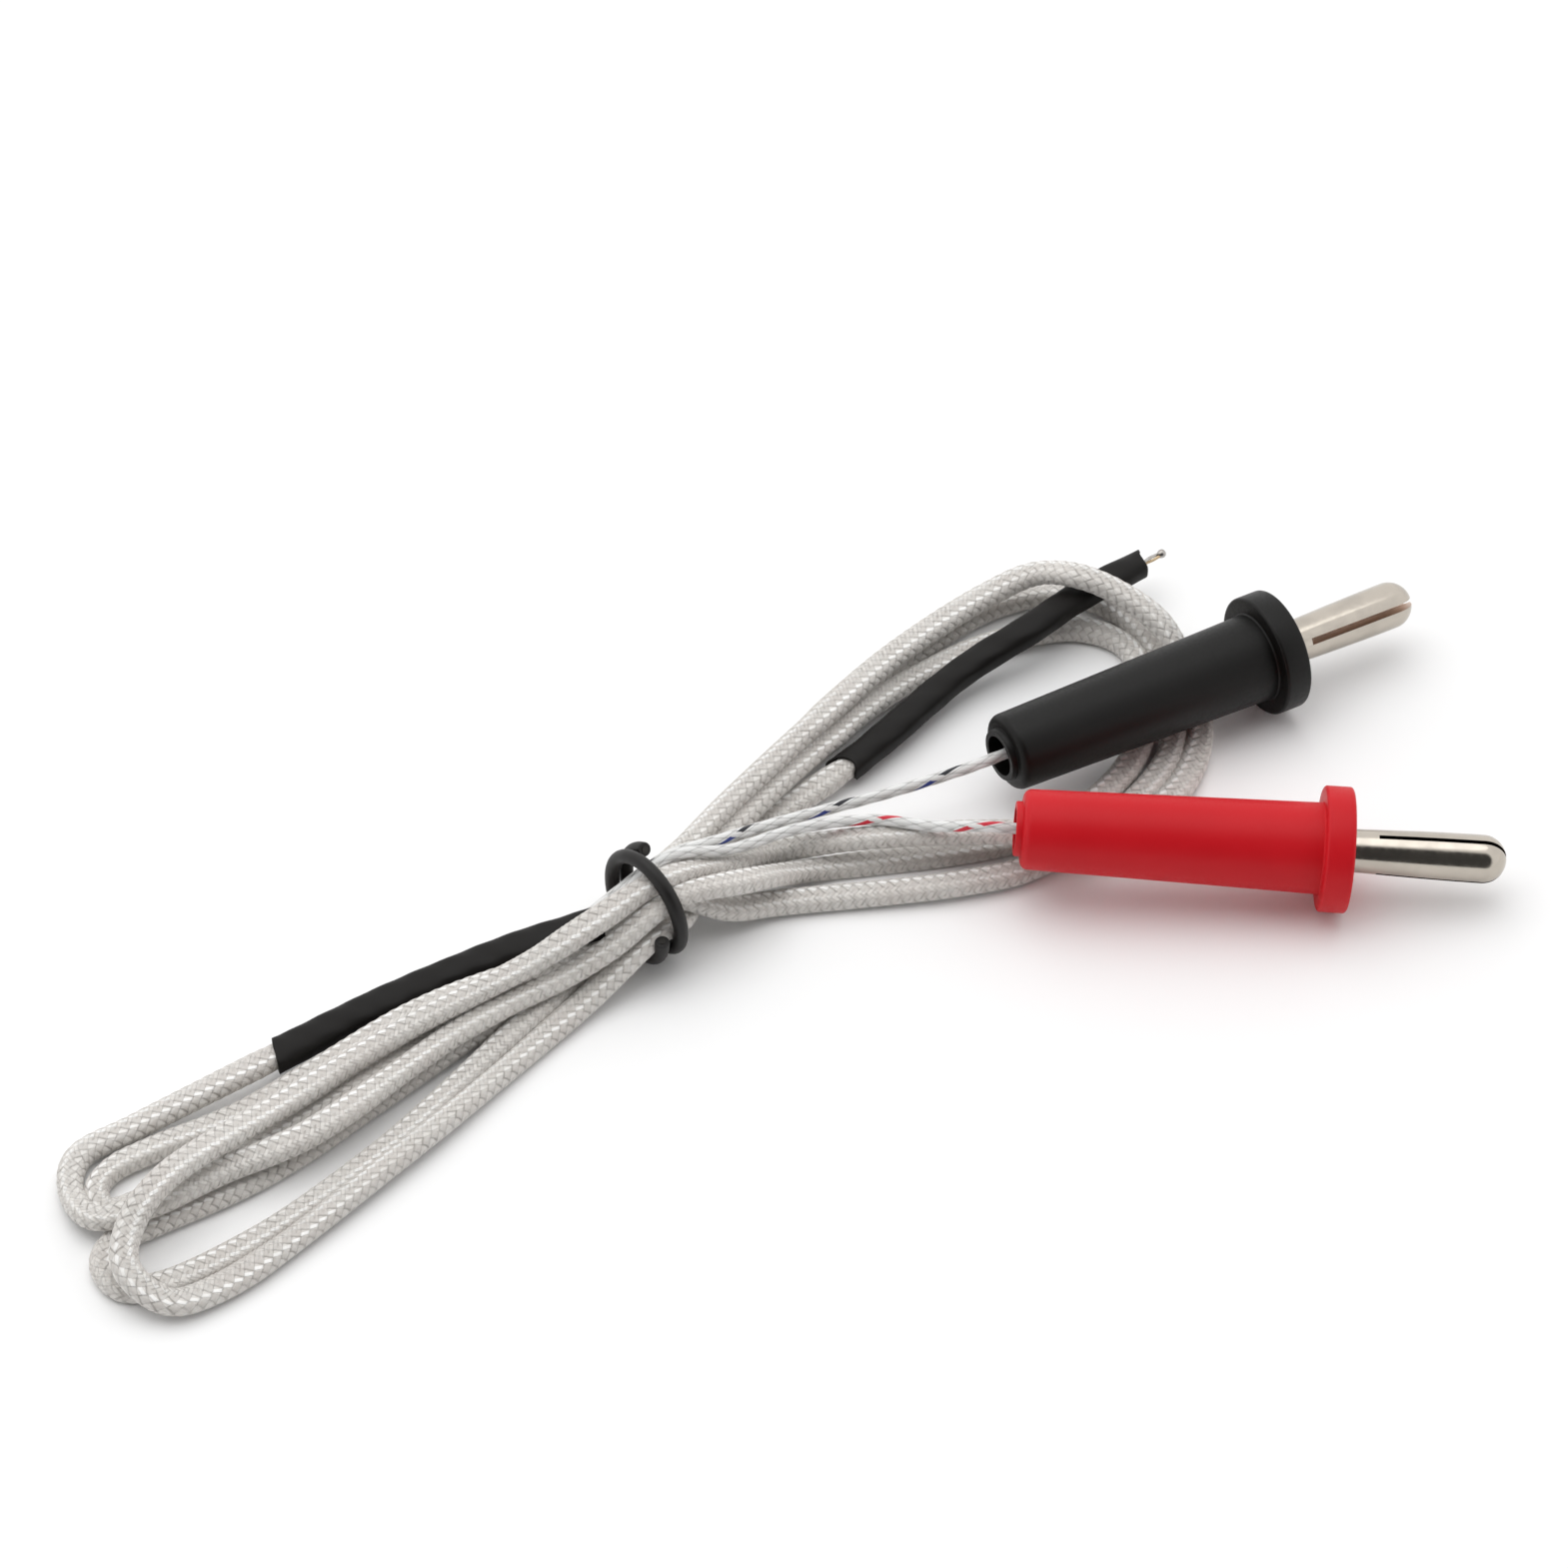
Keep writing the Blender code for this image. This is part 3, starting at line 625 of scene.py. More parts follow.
def frames(points, roll=None):
    """Heading, side and upper direction at each point; the side stays level, then rolls."""
    heading = smoothed_points(np.gradient(points, axis=0), 4)
    heading /= np.linalg.norm(heading, axis=1, keepdims=True)
    side = np.cross(heading, (0.0, 0.0, 1.0))
    side /= np.linalg.norm(side, axis=1, keepdims=True)
    upper = np.cross(side, heading)
    if roll is not None:
        cosine, sine = np.cos(roll)[:, None], np.sin(roll)[:, None]
        side, upper = side * cosine + upper * sine, upper * cosine - side * sine
    return heading, side, upper


def round_places(points, across, upper, ring, theta, radius):
    """Places on round rings along a cord."""
    out = across[ring] * np.cos(theta)[:, None] + upper[ring] * np.sin(theta)[:, None]
    return points[ring] + out * np.reshape(radius, (-1, 1))


def section_angles(wide, high, count):
    """Angles that share out the outline of an oval evenly."""
    angle = np.linspace(0.0, math.tau, 721)
    outline = lengths(np.stack((wide * np.cos(angle), high * np.sin(angle)), axis=1))
    return np.interp(np.linspace(0.0, 1.0, count + 1), outline / outline[-1], angle)


def rolled_tube(name, points, around, shape, capped=True):
    """A grid rolled up along a cord; shape gives the place of each ring and turn."""
    rings = len(points)
    bm = bmesh.new()
    bm.loops.layers.uv.new("UVMap")
    bmesh.ops.create_grid(bm, x_segments=rings - 1, y_segments=around, size=1.0, calc_uvs=True)
    mesh = to_mesh(bm, name)
    flat = np.empty(len(mesh.vertices) * 3)
    mesh.vertices.foreach_get("co", flat)
    flat = (flat.reshape(-1, 3) + 1.0) / 2.0
    ring = np.rint(flat[:, 0] * (rings - 1)).astype(int)
    turn = np.rint(flat[:, 1] * around).astype(int)
    mesh.vertices.foreach_set("co", shape(ring, turn).ravel())
    bm = bmesh.new()
    bm.from_mesh(mesh)
    seam = [vert for vert, at in zip(bm.verts, turn) if at in (0, around)]
    bmesh.ops.remove_doubles(bm, verts=seam, dist=0.000002)
    if capped:
        ends = [edge for edge in bm.edges if edge.is_boundary]
        bmesh.ops.holes_fill(bm, edges=ends, sides=0)
    bmesh.ops.recalc_face_normals(bm, faces=bm.faces)
    return to_mesh(bm, mesh)


def scale_uv(mesh, along, across, first=0.0):
    """UV map in crossings of the braid, less the first ones, instead of shares of the cord."""
    layer = mesh.uv_layers[0].uv
    values = np.empty(len(layer) * 2, dtype=np.float32)
    layer.foreach_get("vector", values)
    values = values.reshape(-1, 2) * (along, across) - (first, 0.0)
    layer.foreach_set("vector", values.astype(np.float32).ravel())


def braid_height(along, across):
    family = 0.5 * (np.cos(math.tau * along) + np.cos(math.tau * across))
    return np.abs(family) ** 0.7


def in_metres(route):
    return [Vector((x * MM, y * MM, z * MM)) for x, y, z in route]


def cable_line():
    """The cable's route, finely, and its whole length."""
    fine = smooth_curve(in_metres(CABLE_ROUTE))
    return fine, lengths(fine)[-1]


def lead_line(side):
    """A lead's route, finely, from inside the split sleeve to inside its plug."""
    fine, total = cable_line()
    first = total - SPLIT_POINT + LEAD_START
    run = evenly(fine, first, total, 4)
    offset = -LEAD_SPREAD if side == "black" else LEAD_SPREAD
    _, across, _ = frames(run)
    start = [Vector(point + way * offset) for point, way in zip(run[:-1], across[:-1])]
    end_heading = Vector(run[-1] - run[-2]).normalized()
    start.append(start[-1] + end_heading * LEAD_EXIT)
    matrix = plug_frame(side)
    end = [matrix @ Vector((0, 0, d)) for d in (-0.0035, 0.0, 0.004, LEAD_END)]
    return smooth_curve(start + in_metres(LEAD_ROUTES[side]) + end, 0.0002)


def plug_frame(side):
    """Matrix of a plug lying on the rim of its flange; its local Z runs from rear to pin."""
    place, heading, tilt, _ = PLUGS[side]
    lean = math.radians(tilt)
    height = FLANGE_R * math.cos(lean) + FLANGE_EDGE * math.sin(lean)
    direction = Vector((
        math.cos(math.radians(heading)) * math.cos(lean),
        math.sin(math.radians(heading)) * math.cos(lean),
        math.sin(lean),
    ))
    level = Vector((0, 0, 1)).cross(direction).normalized()
    upward = direction.cross(level)
    turn = Matrix((upward, level * -1.0, direction)).transposed()
    front = Vector((*place, height))
    return Matrix.Translation(front - direction * HOUSING_LENGTH) @ turn.to_4x4()


def half_widths(points, side, upper, widest, narrowest, others):
    """Half width of the flat cable at each ring: less where something lies right beside it.

    others holds the points of each lead with its radius.
    """
    tree = KDTree(len(points) // 2 + sum(len(line) for line, _ in others))
    owners = []
    for number in range(0, len(points) - 1, 2):
        tree.insert(Vector(points[number]), len(owners))
        owners.append((number, None))
    for line, radius in others:
        for point in line:
            tree.insert(Vector(point), len(owners))
            owners.append((None, radius))
    tree.balance()
    half = np.full(len(points), widest)
    for number, point in enumerate(points):
        for place, owner, _ in tree.find_range(Vector(point), 2.1 * widest):
            along, radius = owners[owner]
            if along is not None and abs(along - number) < 24:
                continue
            apart = np.array(place) - point
            lateral, above = abs(apart @ side[number]), abs(apart @ upper[number])
            if above > 0.0013 or lateral < 0.0004:
                continue
            room = lateral * 0.57 if radius is None else lateral - radius * 0.8
            half[number] = min(half[number], max(room, narrowest))
    lowest = half.copy()
    for shift in range(-6, 7):
        lowest = np.minimum(lowest, np.roll(half, shift))
    return smoothed(lowest, 8)


def turned(name, profile, matrix, material):
    """A turned piece: profile is a closed loop of (radius, height) about the plug's own axis."""
    bm = bmesh.new()
    corners = [bm.verts.new((radius, 0.0, height)) for radius, height in profile]
    edges = [bm.edges.new((corners[i - 1], corners[i])) for i in range(len(corners))]
    bmesh.ops.spin(
        bm, geom=corners + edges, cent=(0, 0, 0), axis=(0, 0, 1), angle=math.tau,
        steps=96, use_merge=True, use_duplicate=False,
    )
    bmesh.ops.remove_doubles(bm, verts=bm.verts, dist=0.000002)
    bmesh.ops.dissolve_degenerate(bm, edges=bm.edges, dist=0.0000005)
    bmesh.ops.transform(bm, matrix=matrix, verts=bm.verts)
    bmesh.ops.recalc_face_normals(bm, faces=bm.faces)
    mesh = to_mesh(bm, name)
    mesh.set_sharp_from_angle(angle=math.radians(40.0))
    return add_piece(name, mesh, material)


def arc(centre_r, centre_h, radius, start, end, steps):
    """Points of a rounded corner of a profile; angles in degrees from the outward radius."""
    points = []
    for step in range(steps + 1):
        angle = math.radians(start + (end - start) * step / steps)
        points.append((centre_r + radius * math.cos(angle), centre_h + radius * math.sin(angle)))
    return points


def apply_modifiers(piece):
    graph = bpy.context.evaluated_depsgraph_get()
    mesh = bpy.data.meshes.new_from_object(piece.evaluated_get(graph), depsgraph=graph)
    old = piece.data
    piece.modifiers.clear()
    piece.data = mesh
    bpy.data.meshes.remove(old)


# Pieces, one operator for each


class TESTLEAD_OT_cable(bpy.types.Operator):
    """Build the braided flat cable on its wound route"""

    bl_idname = "testlead.cable"
    bl_label = "Cable"

    def execute(self, context):
        cable = settings("lead_cable")
        fine, total = cable_line()
        long = total - SPLIT_POINT - CABLE_START
        picks = round(long / cable.pick)
        points = evenly(fine, CABLE_START, total - SPLIT_POINT, picks * PER_PICK + 1, 3)
        run = np.linspace(0.0, 1.0, len(points))
        roll = 0.10 * np.sin(run * 61.0) + 0.07 * np.sin(run * 149.0 + 1.0)
        _, side, upper = frames(points, roll)
        leads = [(lead_line(name)[::3], LEAD_ROOM) for name in LEAD_ROUTES]
        half = half_widths(points, side, upper, cable.width / 2, cable.thickness * 0.66, leads)
        ring_gap = long / (len(points) - 1)
        covered = int((TIP_SLEEVE_LENGTH - CABLE_START) / ring_gap)
        hidden = int((SPLIT_SLEEVE_LENGTH - SPLIT_POINT) / ring_gap)
        half[:covered] = np.minimum(half[:covered], UNDER_TIP_SLEEVE)
        half[-hidden:] = np.minimum(half[-hidden:], UNDER_SPLIT_SLEEVE)
        half = smoothed(half, 5)
        around = PER_PICK * cable.rows
        angle = section_angles(cable.width / 2, cable.thickness / 2, around)
        thick = cable.thickness / 2 - cable.relief * 0.4

        def shape(ring, turn):
            theta = angle[turn]
            cosine, sine = np.cos(theta), np.sin(theta)
            wide = half[ring]
            crease = 1.0 - 0.10 * np.exp(-((cosine / 0.30) ** 2))
            flat_x = np.sign(cosine) * np.abs(cosine) ** 0.86 * wide
            flat_y = np.sign(sine) * np.abs(sine) ** 0.64 * thick * crease
            lift = cable.relief * (braid_height(ring / PER_PICK, turn / PER_PICK) - 0.45)
            normal = np.stack((cosine / wide, sine / thick), axis=1)
            normal /= np.linalg.norm(normal, axis=1, keepdims=True)
            x, y = flat_x + normal[:, 0] * lift, flat_y + normal[:, 1] * lift
            return points[ring] + side[ring] * x[:, None] + upper[ring] * y[:, None]

        mesh = rolled_tube("braided_cable", points, around, shape)
        scale_uv(mesh, picks, cable.rows)
        piece = add_piece("braided_cable", mesh, cable_material())
        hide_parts("cable")
        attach(piece, "root")
        return {"FINISHED"}


class TESTLEAD_OT_leads(bpy.types.Operator):
    """Build the two thin leads between the cable and the plugs"""

    bl_idname = "testlead.leads"
    bl_label = "Leads"

    def execute(self, context):
        wires = settings("lead_wires")
        for side, phase in TRACER_STARTS.items():
            fine = lead_line(side)
            long = lengths(fine)[-1]
            rings = round(long / 0.00015)
            points = evenly(fine, 0.0, long, rings + 1, 6)
            _, across, upper = frames(points)
            around = 24
            first = phase / wires.pick
            picks = long / wires.pick

            def shape(ring, turn):
                theta = turn / around * math.tau
                count = ring / rings * picks - first
                height = braid_height(count, turn / around * wires.rows)
                radius = wires.diameter / 2 + LEAD_RELIEF * (height - 0.6)
                return round_places(points, across, upper, ring, theta, radius)

            mesh = rolled_tube(side + "_lead_cord", points, around, shape)
            scale_uv(mesh, picks, wires.rows, first)
            piece = add_piece(side + "_lead_cord", mesh, lead_material(side))
            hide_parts(side + "_lead")
            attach(piece, "root")
        return {"FINISHED"}


class TESTLEAD_OT_sleeves(bpy.types.Operator):
    """Build the two flattened heat-shrunk sleeves"""

    bl_idname = "testlead.sleeves"
    bl_label = "Sleeves"

    def execute(self, context):
        sleeves = settings("lead_sleeves")
        fine, total = cable_line()
        start = total - SPLIT_SLEEVE_LENGTH + SPLIT_SLEEVE_SET_BACK
        self.sleeve(
            "tip", evenly(fine, 0.0, TIP_SLEEVE_LENGTH, 151, 5), sleeves.tip_width,
            first_cut=0.0001, last_cut=sleeves.scoop, lean=-0.0009, flare=-0.13,
        )
        self.sleeve(
            "split", evenly(fine, start, total, 151, 5), sleeves.split_width,
            first_cut=0.0002, last_cut=0.0003, lean=0.0011, flare=0.03,
        )
        return {"FINISHED"}

    def sleeve(self, which, points, width, first_cut, last_cut, lean, flare):
        """One sleeve: the cuts hollow its ends out, and lean and flare shape its first end."""
        sleeves = settings("lead_sleeves")
        around = 40
        heading, side, upper = frames(points)
        angle = section_angles(width, sleeves.thickness, around)
        run = np.linspace(0.0, 1.0, len(points))
        wave = 1.0 + 0.025 * np.sin(run * 17.0 + 1.0) + 0.015 * np.sin(run * 41.0)
        first_end = np.exp(-(run / 0.05) ** 2)
        last_end = np.exp(-((1.0 - run) / 0.05) ** 2)

        def shape(ring, turn):
            theta = angle[turn]
            cosine, sine = np.cos(theta), np.sin(theta)
            wide = width / 2 * wave[ring] * (1.0 + flare * first_end[ring] + 0.05 * last_end[ring])
            high = sleeves.thickness / 2 * (2.0 - wave[ring])
            ripple = 0.00003 * np.sin(run[ring] * 67.0 + 3.0 * theta)
            x = np.sign(cosine) * np.abs(cosine) ** 0.85 * wide
            y = np.sign(sine) * np.abs(sine) ** 0.60 * high + ripple
            scoop = np.abs(sine) ** 1.6
            slant = 0.45 * scoop + 0.55 * (1.0 - cosine) / 2.0
            leaning = ((1.0 - np.sign(lean) * cosine) / 2.0) ** 2
            push = first_cut * scoop * first_end[ring] - last_cut * slant * last_end[ring]
            push += lean * leaning * first_end[ring]
            spot = points[ring] + side[ring] * x[:, None] + upper[ring] * y[:, None]
            return spot + heading[ring] * push[:, None]

        mesh = rolled_tube(which + "_shrink_sleeve", points, around, shape, capped=False)
        piece = add_piece(which + "_shrink_sleeve", mesh, sleeve_material())
        wall = piece.modifiers.new("Wall", "SOLIDIFY")
        wall.thickness = sleeves.wall
        wall.offset = -1.0
        wall.use_rim = True
        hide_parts(which + "_sleeve")
        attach(piece, "root")


class TESTLEAD_OT_tip(bpy.types.Operator):
    """Build the twisted bare wires and the weld bead"""

    bl_idname = "testlead.tip"
    bl_label = "Measuring tip"

    def execute(self, context):
        tip = settings("lead_tip")
        fine, _ = cable_line()
        mouth = Vector(fine[0])
        outward = Vector(fine[0] - fine[8]).normalized()
        side = outward.cross(Vector((0, 0, 1))).normalized()
        rise = side.cross(outward)
        inside = CABLE_START - 0.0003
        bead_at = mouth + outward * (tip.reach + tip.bead)
        reach = inside + tip.reach + tip.bead * 0.8
        finishes = (
            ("chromel", "golden_wire", tip.chromel, (0.35, 0.22, 0.13, 1.0)),
            ("alumel", "grey_wire", tip.alumel, (0.30, 0.27, 0.24, 1.0)),
        )
        for number, (slot, name, colour, heat) in enumerate(finishes):
            finish = metal_material(name, colour, 0.26, heat)
            path = []
            for step in range(49):
                share = step / 48
                phase = math.pi * (number + WIRE_HALF_TURNS * share)
                spread = WIRE_SPREAD * (1.0 - 0.45 * share)
                middle = mouth + outward * (-inside + reach * share)
                path.append(middle + spread * (math.cos(phase) * side + math.sin(phase) * rise))
            path = np.array(path)
            _, across, upper = frames(path)

            def shape(ring, turn):
                theta = turn / 16 * math.tau
                return round_places(path, across, upper, ring, theta, tip.wire / 2)

            mesh = rolled_tube(f"twisted_wire_{number + 1}", path, 16, shape)
            piece = add_piece(f"twisted_wire_{number + 1}", mesh, finish)
            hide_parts(f"bare_wire_{number + 1}")
            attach(piece, "root")
        bm = bmesh.new()
        bmesh.ops.create_icosphere(bm, subdivisions=4, radius=tip.bead)
        for vert in bm.verts:
            x, y, z = vert.co / tip.bead
            dent = math.sin(3.1 * x + 1.0) * math.sin(2.7 * y + 0.4)
            vert.co *= 1.0 + 0.03 * dent + 0.02 * math.sin(4.3 * z)
        neck = [vert for vert in bm.verts if vert.co.normalized().dot(outward) < -0.6]
        bmesh.ops.translate(bm, vec=-outward * tip.bead * 0.16, verts=neck)
        for _ in range(3):
            bmesh.ops.smooth_vert(
                bm, verts=bm.verts, factor=0.5, use_axis_x=True, use_axis_y=True, use_axis_z=True,
            )
        bmesh.ops.translate(bm, vec=bead_at, verts=bm.verts)
        heat = (0.24, 0.20, 0.17, 1.0)
        finish = metal_material("weld_metal", (0.46, 0.44, 0.42, 1.0), 0.22, heat)
        piece = add_piece("weld_ball", to_mesh(bm, "bead"), finish)
        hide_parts("weld_bead")
        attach(piece, "root")
        return {"FINISHED"}


class TESTLEAD_OT_plugs(bpy.types.Operator):
    """Build both plugs: moulded housings and slotted pins"""

    bl_idname = "testlead.plugs"
    bl_label = "Plugs"

    def execute(self, context):
        for side in PLUGS:
            self.housing(side)
            self.pin(side)
            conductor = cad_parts[side + "_lead_conductor"]
            for slot in conductor.material_slots:
                slot.material = metal_material("grey_wire", settings("lead_tip").alumel, 0.26)
        return {"FINISHED"}

    def housing(self, side):
        plugs = settings("lead_plugs")
        rear, front = plugs.rear_radius, plugs.front_radius
        flange_rear = HOUSING_LENGTH - plugs.flange
        edge, rounding = 0.00028, 0.0007
        collar, hole, mouth, room = 0.0024, 0.0019, 0.00205, 0.0028
        # Corners as radius and height: collar, rear edge, taper, flange, then back down the bore
        profile = [(0.00185, -0.0006), (0.00232, -0.0006), (collar, -0.0005), (collar, -0.00005)]
        profile += [(0.00246, 0.0)]
        profile += arc(rear - rounding, rounding, rounding, -90.0, 0.0, 8)
        for share in (0.2, 0.4, 0.6, 0.8):
            height = rounding + (flange_rear - rounding) * share
            profile.append((rear + (front - rear) * share, height))
        profile += [(front, flange_rear - 0.00012), (front + 0.00012, flange_rear)]
        profile += arc(FLANGE_R - edge, flange_rear + edge, edge, -90.0, 0.0, 5)
        profile += arc(FLANGE_R - edge, HOUSING_LENGTH - edge, edge, 0.0, 90.0, 5)
        profile += [(0.00215, HOUSING_LENGTH), (mouth, HOUSING_LENGTH - 0.0001)]
        profile += [(mouth, HOUSING_LENGTH - 0.004), (room, HOUSING_LENGTH - 0.005)]
        profile += [(room, 0.0088), (hole, 0.008), (hole, 0.0), (0.00185, -0.0003)]
        piece = turned(side + "_housing", profile, plug_frame(side), plastic_material(side))
        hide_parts(side + "_plug_housing")
        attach(piece, "root")

    def pin(self, side):
        plugs = settings("lead_plugs")
        matrix = plug_frame(side)
        tip = HOUSING_LENGTH + plugs.pin_length
        shaft = HOUSING_LENGTH + 0.0008
        base, swell, dome = 0.0019, plugs.pin_radius, 0.0021
        barrel, bore, shoulder = 0.002, 0.0006, 0.0025
        # Barrel for the conductor, shoulder, swelling shaft and dome, then the barrel's bore
        profile = [(bore, 0.0098), (barrel, 0.0098), (barrel, 0.0208), (shoulder, 0.0208)]
        profile += [(shoulder, 0.0228), (base, 0.0228)]
        for step in range(13):
            share = step / 12
            height = shaft + (tip - dome - shaft) * share
            profile.append((base + (swell - base) * math.sin(share * math.pi / 2), height))
        for step in range(1, 13):
            angle = math.pi / 2 * step / 12
            radius = max(swell * math.cos(angle), 0.0)
            profile.append((radius, tip - dome + dome * math.sin(angle)))
        profile += [(0.0, 0.0168), (bore, 0.0168)]
        nickel = metal_material("nickel_plate", plugs.nickel, 0.13)
        piece = turned(side + "_pin", profile, matrix, nickel)
        start = HOUSING_LENGTH + SLOT_START
        long = plugs.pin_length
        # Faces inside the slots get a second material: painted shade on the red pin, painted brown
        # light on the black pin
        piece.data.materials.append(metal_material(side + "_slot_painted_light", SLOT_PAINTED_LIGHT[side], 0.35))
        slot_size = (plugs.slot * SLOT_WIDTHS[side], 0.003, long)
        for number in range(3):
            bm = bmesh.new()
            bmesh.ops.create_cube(bm, size=1.0)
            bmesh.ops.scale(bm, vec=slot_size, verts=bm.verts)
            bmesh.ops.translate(bm, vec=(0, 0.0014, start + long / 2), verts=bm.verts)
            spin = Matrix.Rotation(math.radians(PLUGS[side][3] + 120.0 * number - 90.0), 4, "Z")
            bmesh.ops.transform(bm, matrix=matrix @ spin, verts=bm.verts)
            for face in bm.faces:
                face.material_index = 1
            cutter = add_piece("slot_cutter", to_mesh(bm, "slot"), *piece.data.materials)
            cut = piece.modifiers.new("Slot", "BOOLEAN")
            cut.operation = "DIFFERENCE"
            cut.solver = "EXACT"
            cut.object = cutter
            apply_modifiers(piece)
            bpy.data.objects.remove(cutter)
        piece.data.shade_smooth()
        piece.data.set_sharp_from_angle(angle=math.radians(30.0))
        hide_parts(side + "_plug_pin")
        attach(piece, "root")


class TESTLEAD_OT_tie(bpy.types.Operator):
    """Build the rubber-coated wire tie round the waist of the hank"""

    bl_idname = "testlead.tie"
    bl_label = "Wire tie"

    def execute(self, context):
        tie = settings("lead_tie")
        centre = Vector(TIE_CENTRE)
        heading = math.radians(TIE_BUNDLE_ANGLE)
        lengthwise = Vector((math.cos(heading), math.sin(heading), 0.0))
        backward = Vector((-math.sin(heading), math.cos(heading), 0.0))
        sweep = TIE_START_ANGLE - TIE_END_ANGLE
        coil = []
        first = TIE_START_ANGLE + TIE_LEAD_IN
        for step in range(TIE_STEPS + 1):
            turn = first - (first - TIE_TAIL_ANGLE) * step / TIE_STEPS
            shift = TIE_PITCH * sweep / 360.0 * (0.5 - (TIE_START_ANGLE - turn) / sweep)
            tail = min(max((TIE_TAIL_START - turn) / TIE_TAIL_BEND, 0.0), 1.0)
            shift -= TIE_TAIL_SHIFT * tail * tail * (3.0 - 2.0 * tail)
            angle = math.radians(turn)
            out = backward * math.cos(angle) + Vector((0, 0, 1)) * math.sin(angle)
            coil.append(centre + out * TIE_COIL_R + lengthwise * shift)
        line = smooth_curve(coil, 0.0002)
        path = evenly(line, 0.0, lengths(line)[-1], 301, 3)
        steel = metal_material("tie_steel_face", (0.05, 0.048, 0.045, 1.0), 0.4)
        for name, slot, node, diameter, finish in (
            ("tie_rubber_coat", "tie_rubber", "tie_coat", tie.diameter, rubber_material()),
            ("tie_steel_wire", "tie_steel", "tie_wire_core", tie.core, steel),
        ):
            piece = self.round_wire(name, path, diameter, finish)
            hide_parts(node)
            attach(piece, "root")
        return {"FINISHED"}

    def round_wire(self, name, path, diameter, finish):
        around = 24
        count = len(path)
        heading = np.gradient(path, axis=0)
        heading /= np.linalg.norm(heading, axis=1, keepdims=True)
        across = np.empty_like(path)
        across[0] = np.cross(heading[0], (0.3, 0.2, 0.9))
        for number in range(count):
            before = across[max(number - 1, 0)]
            level = before - heading[number] * (before @ heading[number])
            across[number] = level / np.linalg.norm(level)
        upper = np.cross(heading, across)
        rubber = name.endswith("coat")
        shrink = np.ones(count)
        if rubber:
            shrink[0], shrink[-1] = 0.93, 0.93
        else:
            path = path.copy()
            path[0] -= heading[0] * 0.00006
            path[-1] += heading[-1] * 0.00006

        def shape(ring, turn):
            theta = turn / around * math.tau
            dent = 1.0 + (0.02 * np.sin(ring * 0.11 + 2.0 * theta) if rubber else 0.0)
            radius = diameter / 2 * shrink[ring] * dent
            return round_places(path, across, upper, ring, theta, radius)

        mesh = rolled_tube(name, path, around, shape)
        mesh.set_sharp_from_angle(angle=math.radians(50.0))
        return add_piece(name, mesh, finish)


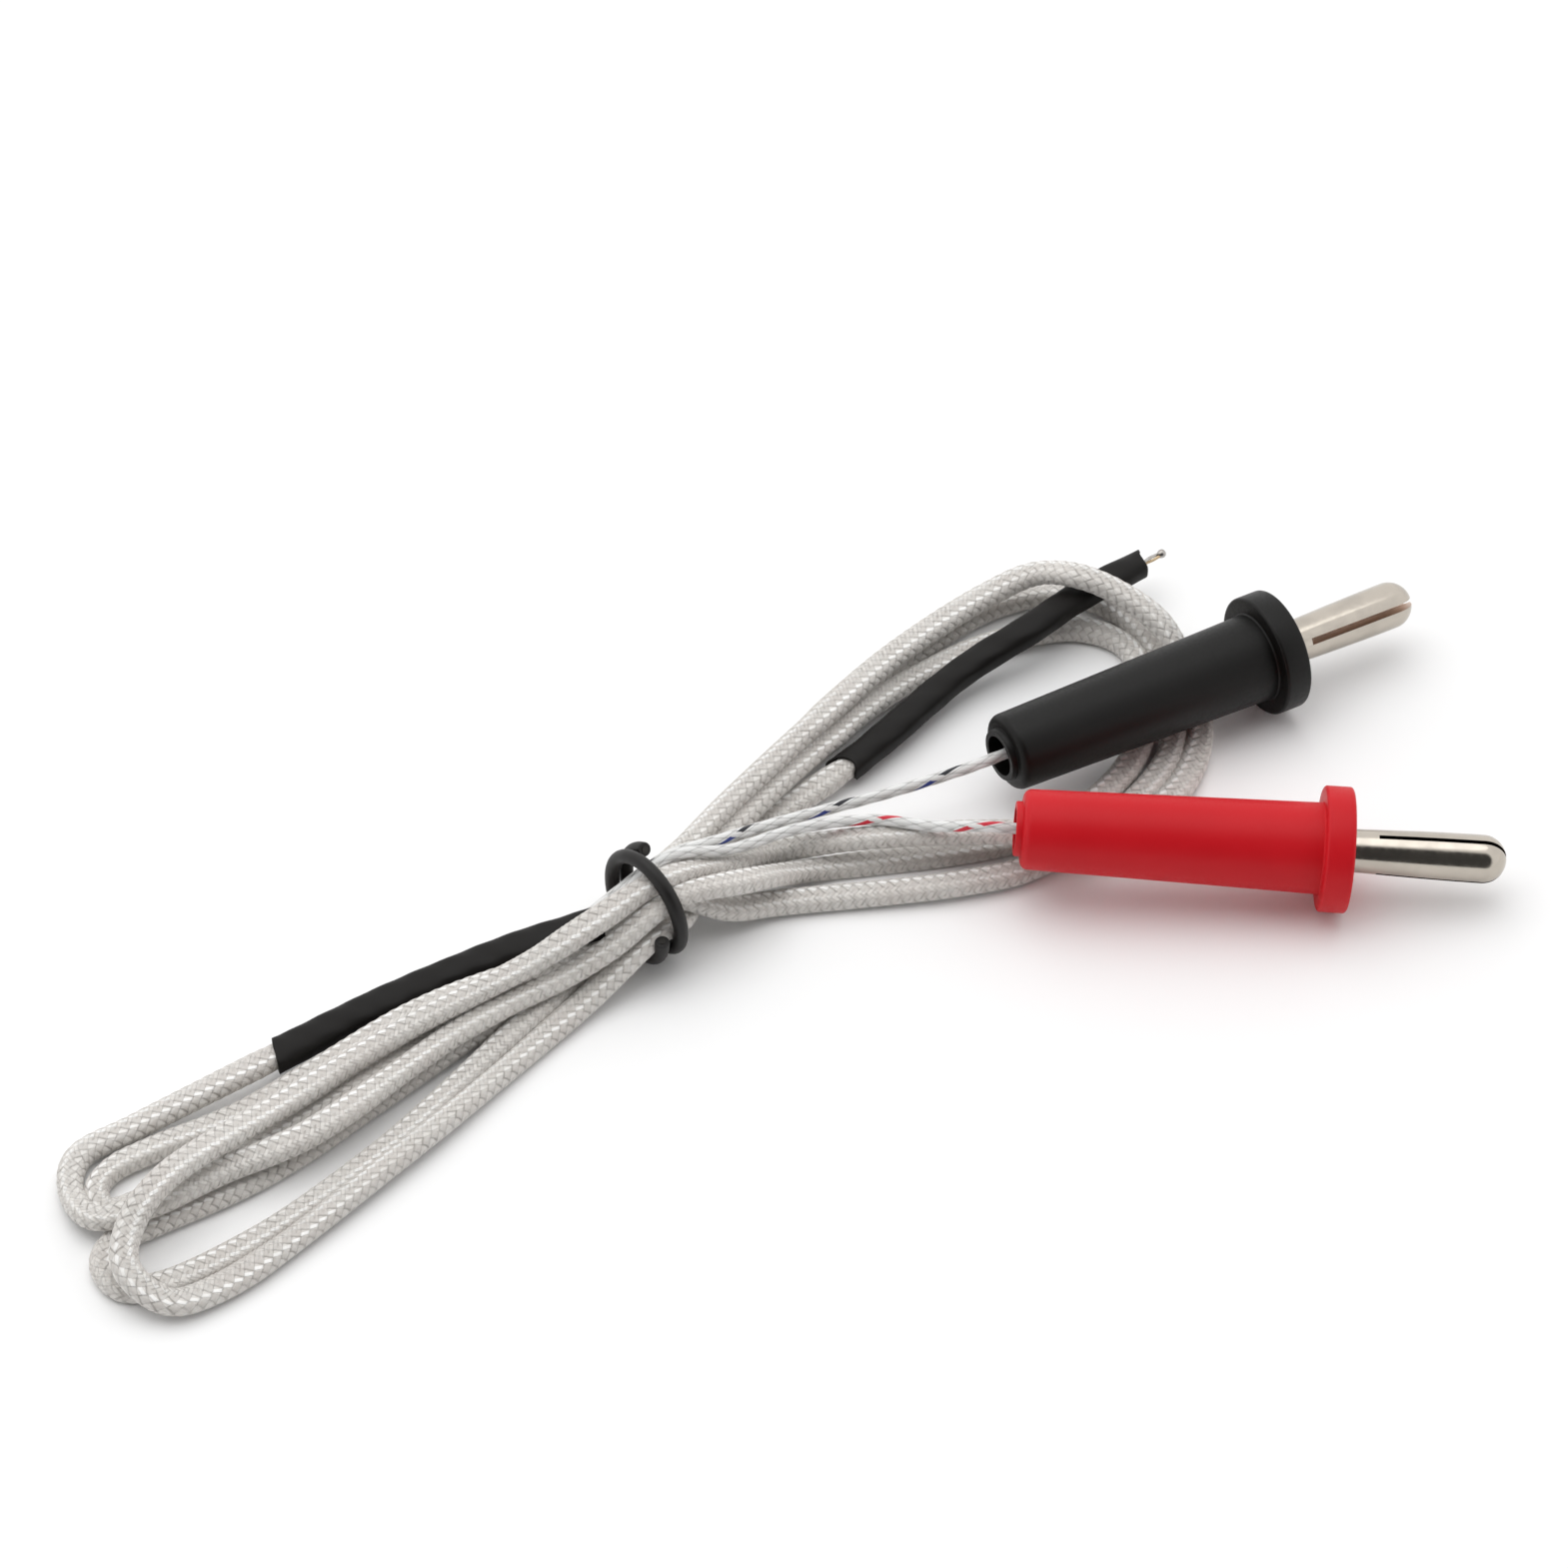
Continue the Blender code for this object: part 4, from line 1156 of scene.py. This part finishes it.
class TESTLEAD_OT_stage(bpy.types.Operator):
    """Add the plain floor, the soft light and the camera"""

    bl_idname = "testlead.stage"
    bl_label = "Stage"

    def execute(self, context):
        stage = settings("lead_stage")
        scene = context.scene
        bm = bmesh.new()
        bmesh.ops.create_grid(bm, x_segments=1, y_segments=1, size=3.0)
        made = NodeWriter("floor_paper")
        made.set(Base_Color=tuple(stage.floor), Roughness=0.9)
        floor = add_piece("floor", to_mesh(bm, "floor"), made.material)
        world = bpy.data.worlds.new("soft_room")
        world.use_nodes = True
        background = world.node_tree.nodes["Background"]
        background.inputs["Strength"].default_value = stage.fill
        # The studio is white but for a darker part behind and above the photographer
        nodes, links = world.node_tree.nodes, world.node_tree.links
        facing = nodes.new("ShaderNodeTexCoord")
        toward = nodes.new("ShaderNodeVectorMath")
        toward.operation = "DOT_PRODUCT"
        toward.inputs[1].default_value = DARK_TOWARD
        dark = nodes.new("ShaderNodeValToRGB")
        dark.color_ramp.interpolation = "EASE"
        for stop, at, grey in zip(dark.color_ramp.elements, (0.70, 0.84), (1.0, 0.06)):
            stop.position = at
            stop.color = (grey, grey, grey, 1.0)
        links.new(facing.outputs["Generated"], toward.inputs[0])
        links.new(toward.outputs["Value"], dark.inputs["Fac"])
        links.new(dark.outputs["Color"], background.inputs["Color"])
        scene.world = world
        lamp = bpy.data.lights.new("key", "AREA")
        lamp.energy = stage.key
        lamp.size = LAMP_SIZE
        holder = bpy.data.objects.new("key", lamp)
        holder.location = LAMP_PLACE
        holder.rotation_euler = (-Vector(LAMP_PLACE)).to_track_quat("-Z", "Y").to_euler()
        scene.collection.objects.link(holder)
        camera = bpy.data.cameras.new("camera")
        camera.sensor_fit = "HORIZONTAL"
        camera.angle = math.radians(VIEW_ANGLE)
        camera.clip_start, camera.clip_end = 0.01, 20.0
        holder = bpy.data.objects.new("camera", camera)
        lean = math.radians(ELEVATION)
        back = Vector((0.0, -math.cos(lean), math.sin(lean)))
        holder.location = Vector(AIM) + back * DISTANCE
        holder.rotation_euler = (-back).to_track_quat("-Z", "Y").to_euler()
        scene.collection.objects.link(holder)
        scene.camera = holder
        scene.view_settings.view_transform = "Standard"
        scene.view_settings.look = "None"
        return {"FINISHED"}


class TESTLEAD_PT_parts(bpy.types.Panel):
    """Buttons and settings of the test lead"""

    bl_idname = "TESTLEAD_PT_parts"
    bl_label = "Test lead"
    bl_space_type = "VIEW_3D"
    bl_region_type = "UI"
    bl_category = "Test lead"

    def draw(self, context):
        for operator in OPERATORS:
            self.layout.operator(operator.bl_idname)
        for name, group in GROUPS.items():
            box = self.layout.box()
            box.label(text=group.__doc__)
            for key in group.__annotations__:
                box.prop(settings(name), key)


OPERATORS = (
    TESTLEAD_OT_cable,
    TESTLEAD_OT_leads,
    TESTLEAD_OT_sleeves,
    TESTLEAD_OT_tip,
    TESTLEAD_OT_plugs,
    TESTLEAD_OT_tie,
    TESTLEAD_OT_stage,
)


def register():
    for group in GROUPS.values():
        bpy.utils.register_class(group)
    for operator in OPERATORS:
        bpy.utils.register_class(operator)
    bpy.utils.register_class(TESTLEAD_PT_parts)
    for name, group in GROUPS.items():
        setattr(bpy.types.Scene, name, PointerProperty(type=group))


def unregister():
    for name in GROUPS:
        delattr(bpy.types.Scene, name)
    bpy.utils.unregister_class(TESTLEAD_PT_parts)
    for operator in reversed(OPERATORS):
        bpy.utils.unregister_class(operator)
    for group in reversed(GROUPS.values()):
        bpy.utils.unregister_class(group)


def main():
    register()
    bpy.ops.testlead.cable()
    bpy.ops.testlead.leads()
    bpy.ops.testlead.sleeves()
    bpy.ops.testlead.tip()
    bpy.ops.testlead.plugs()
    bpy.ops.testlead.tie()
    bpy.ops.testlead.stage()


if __name__ == "__main__":
    main()
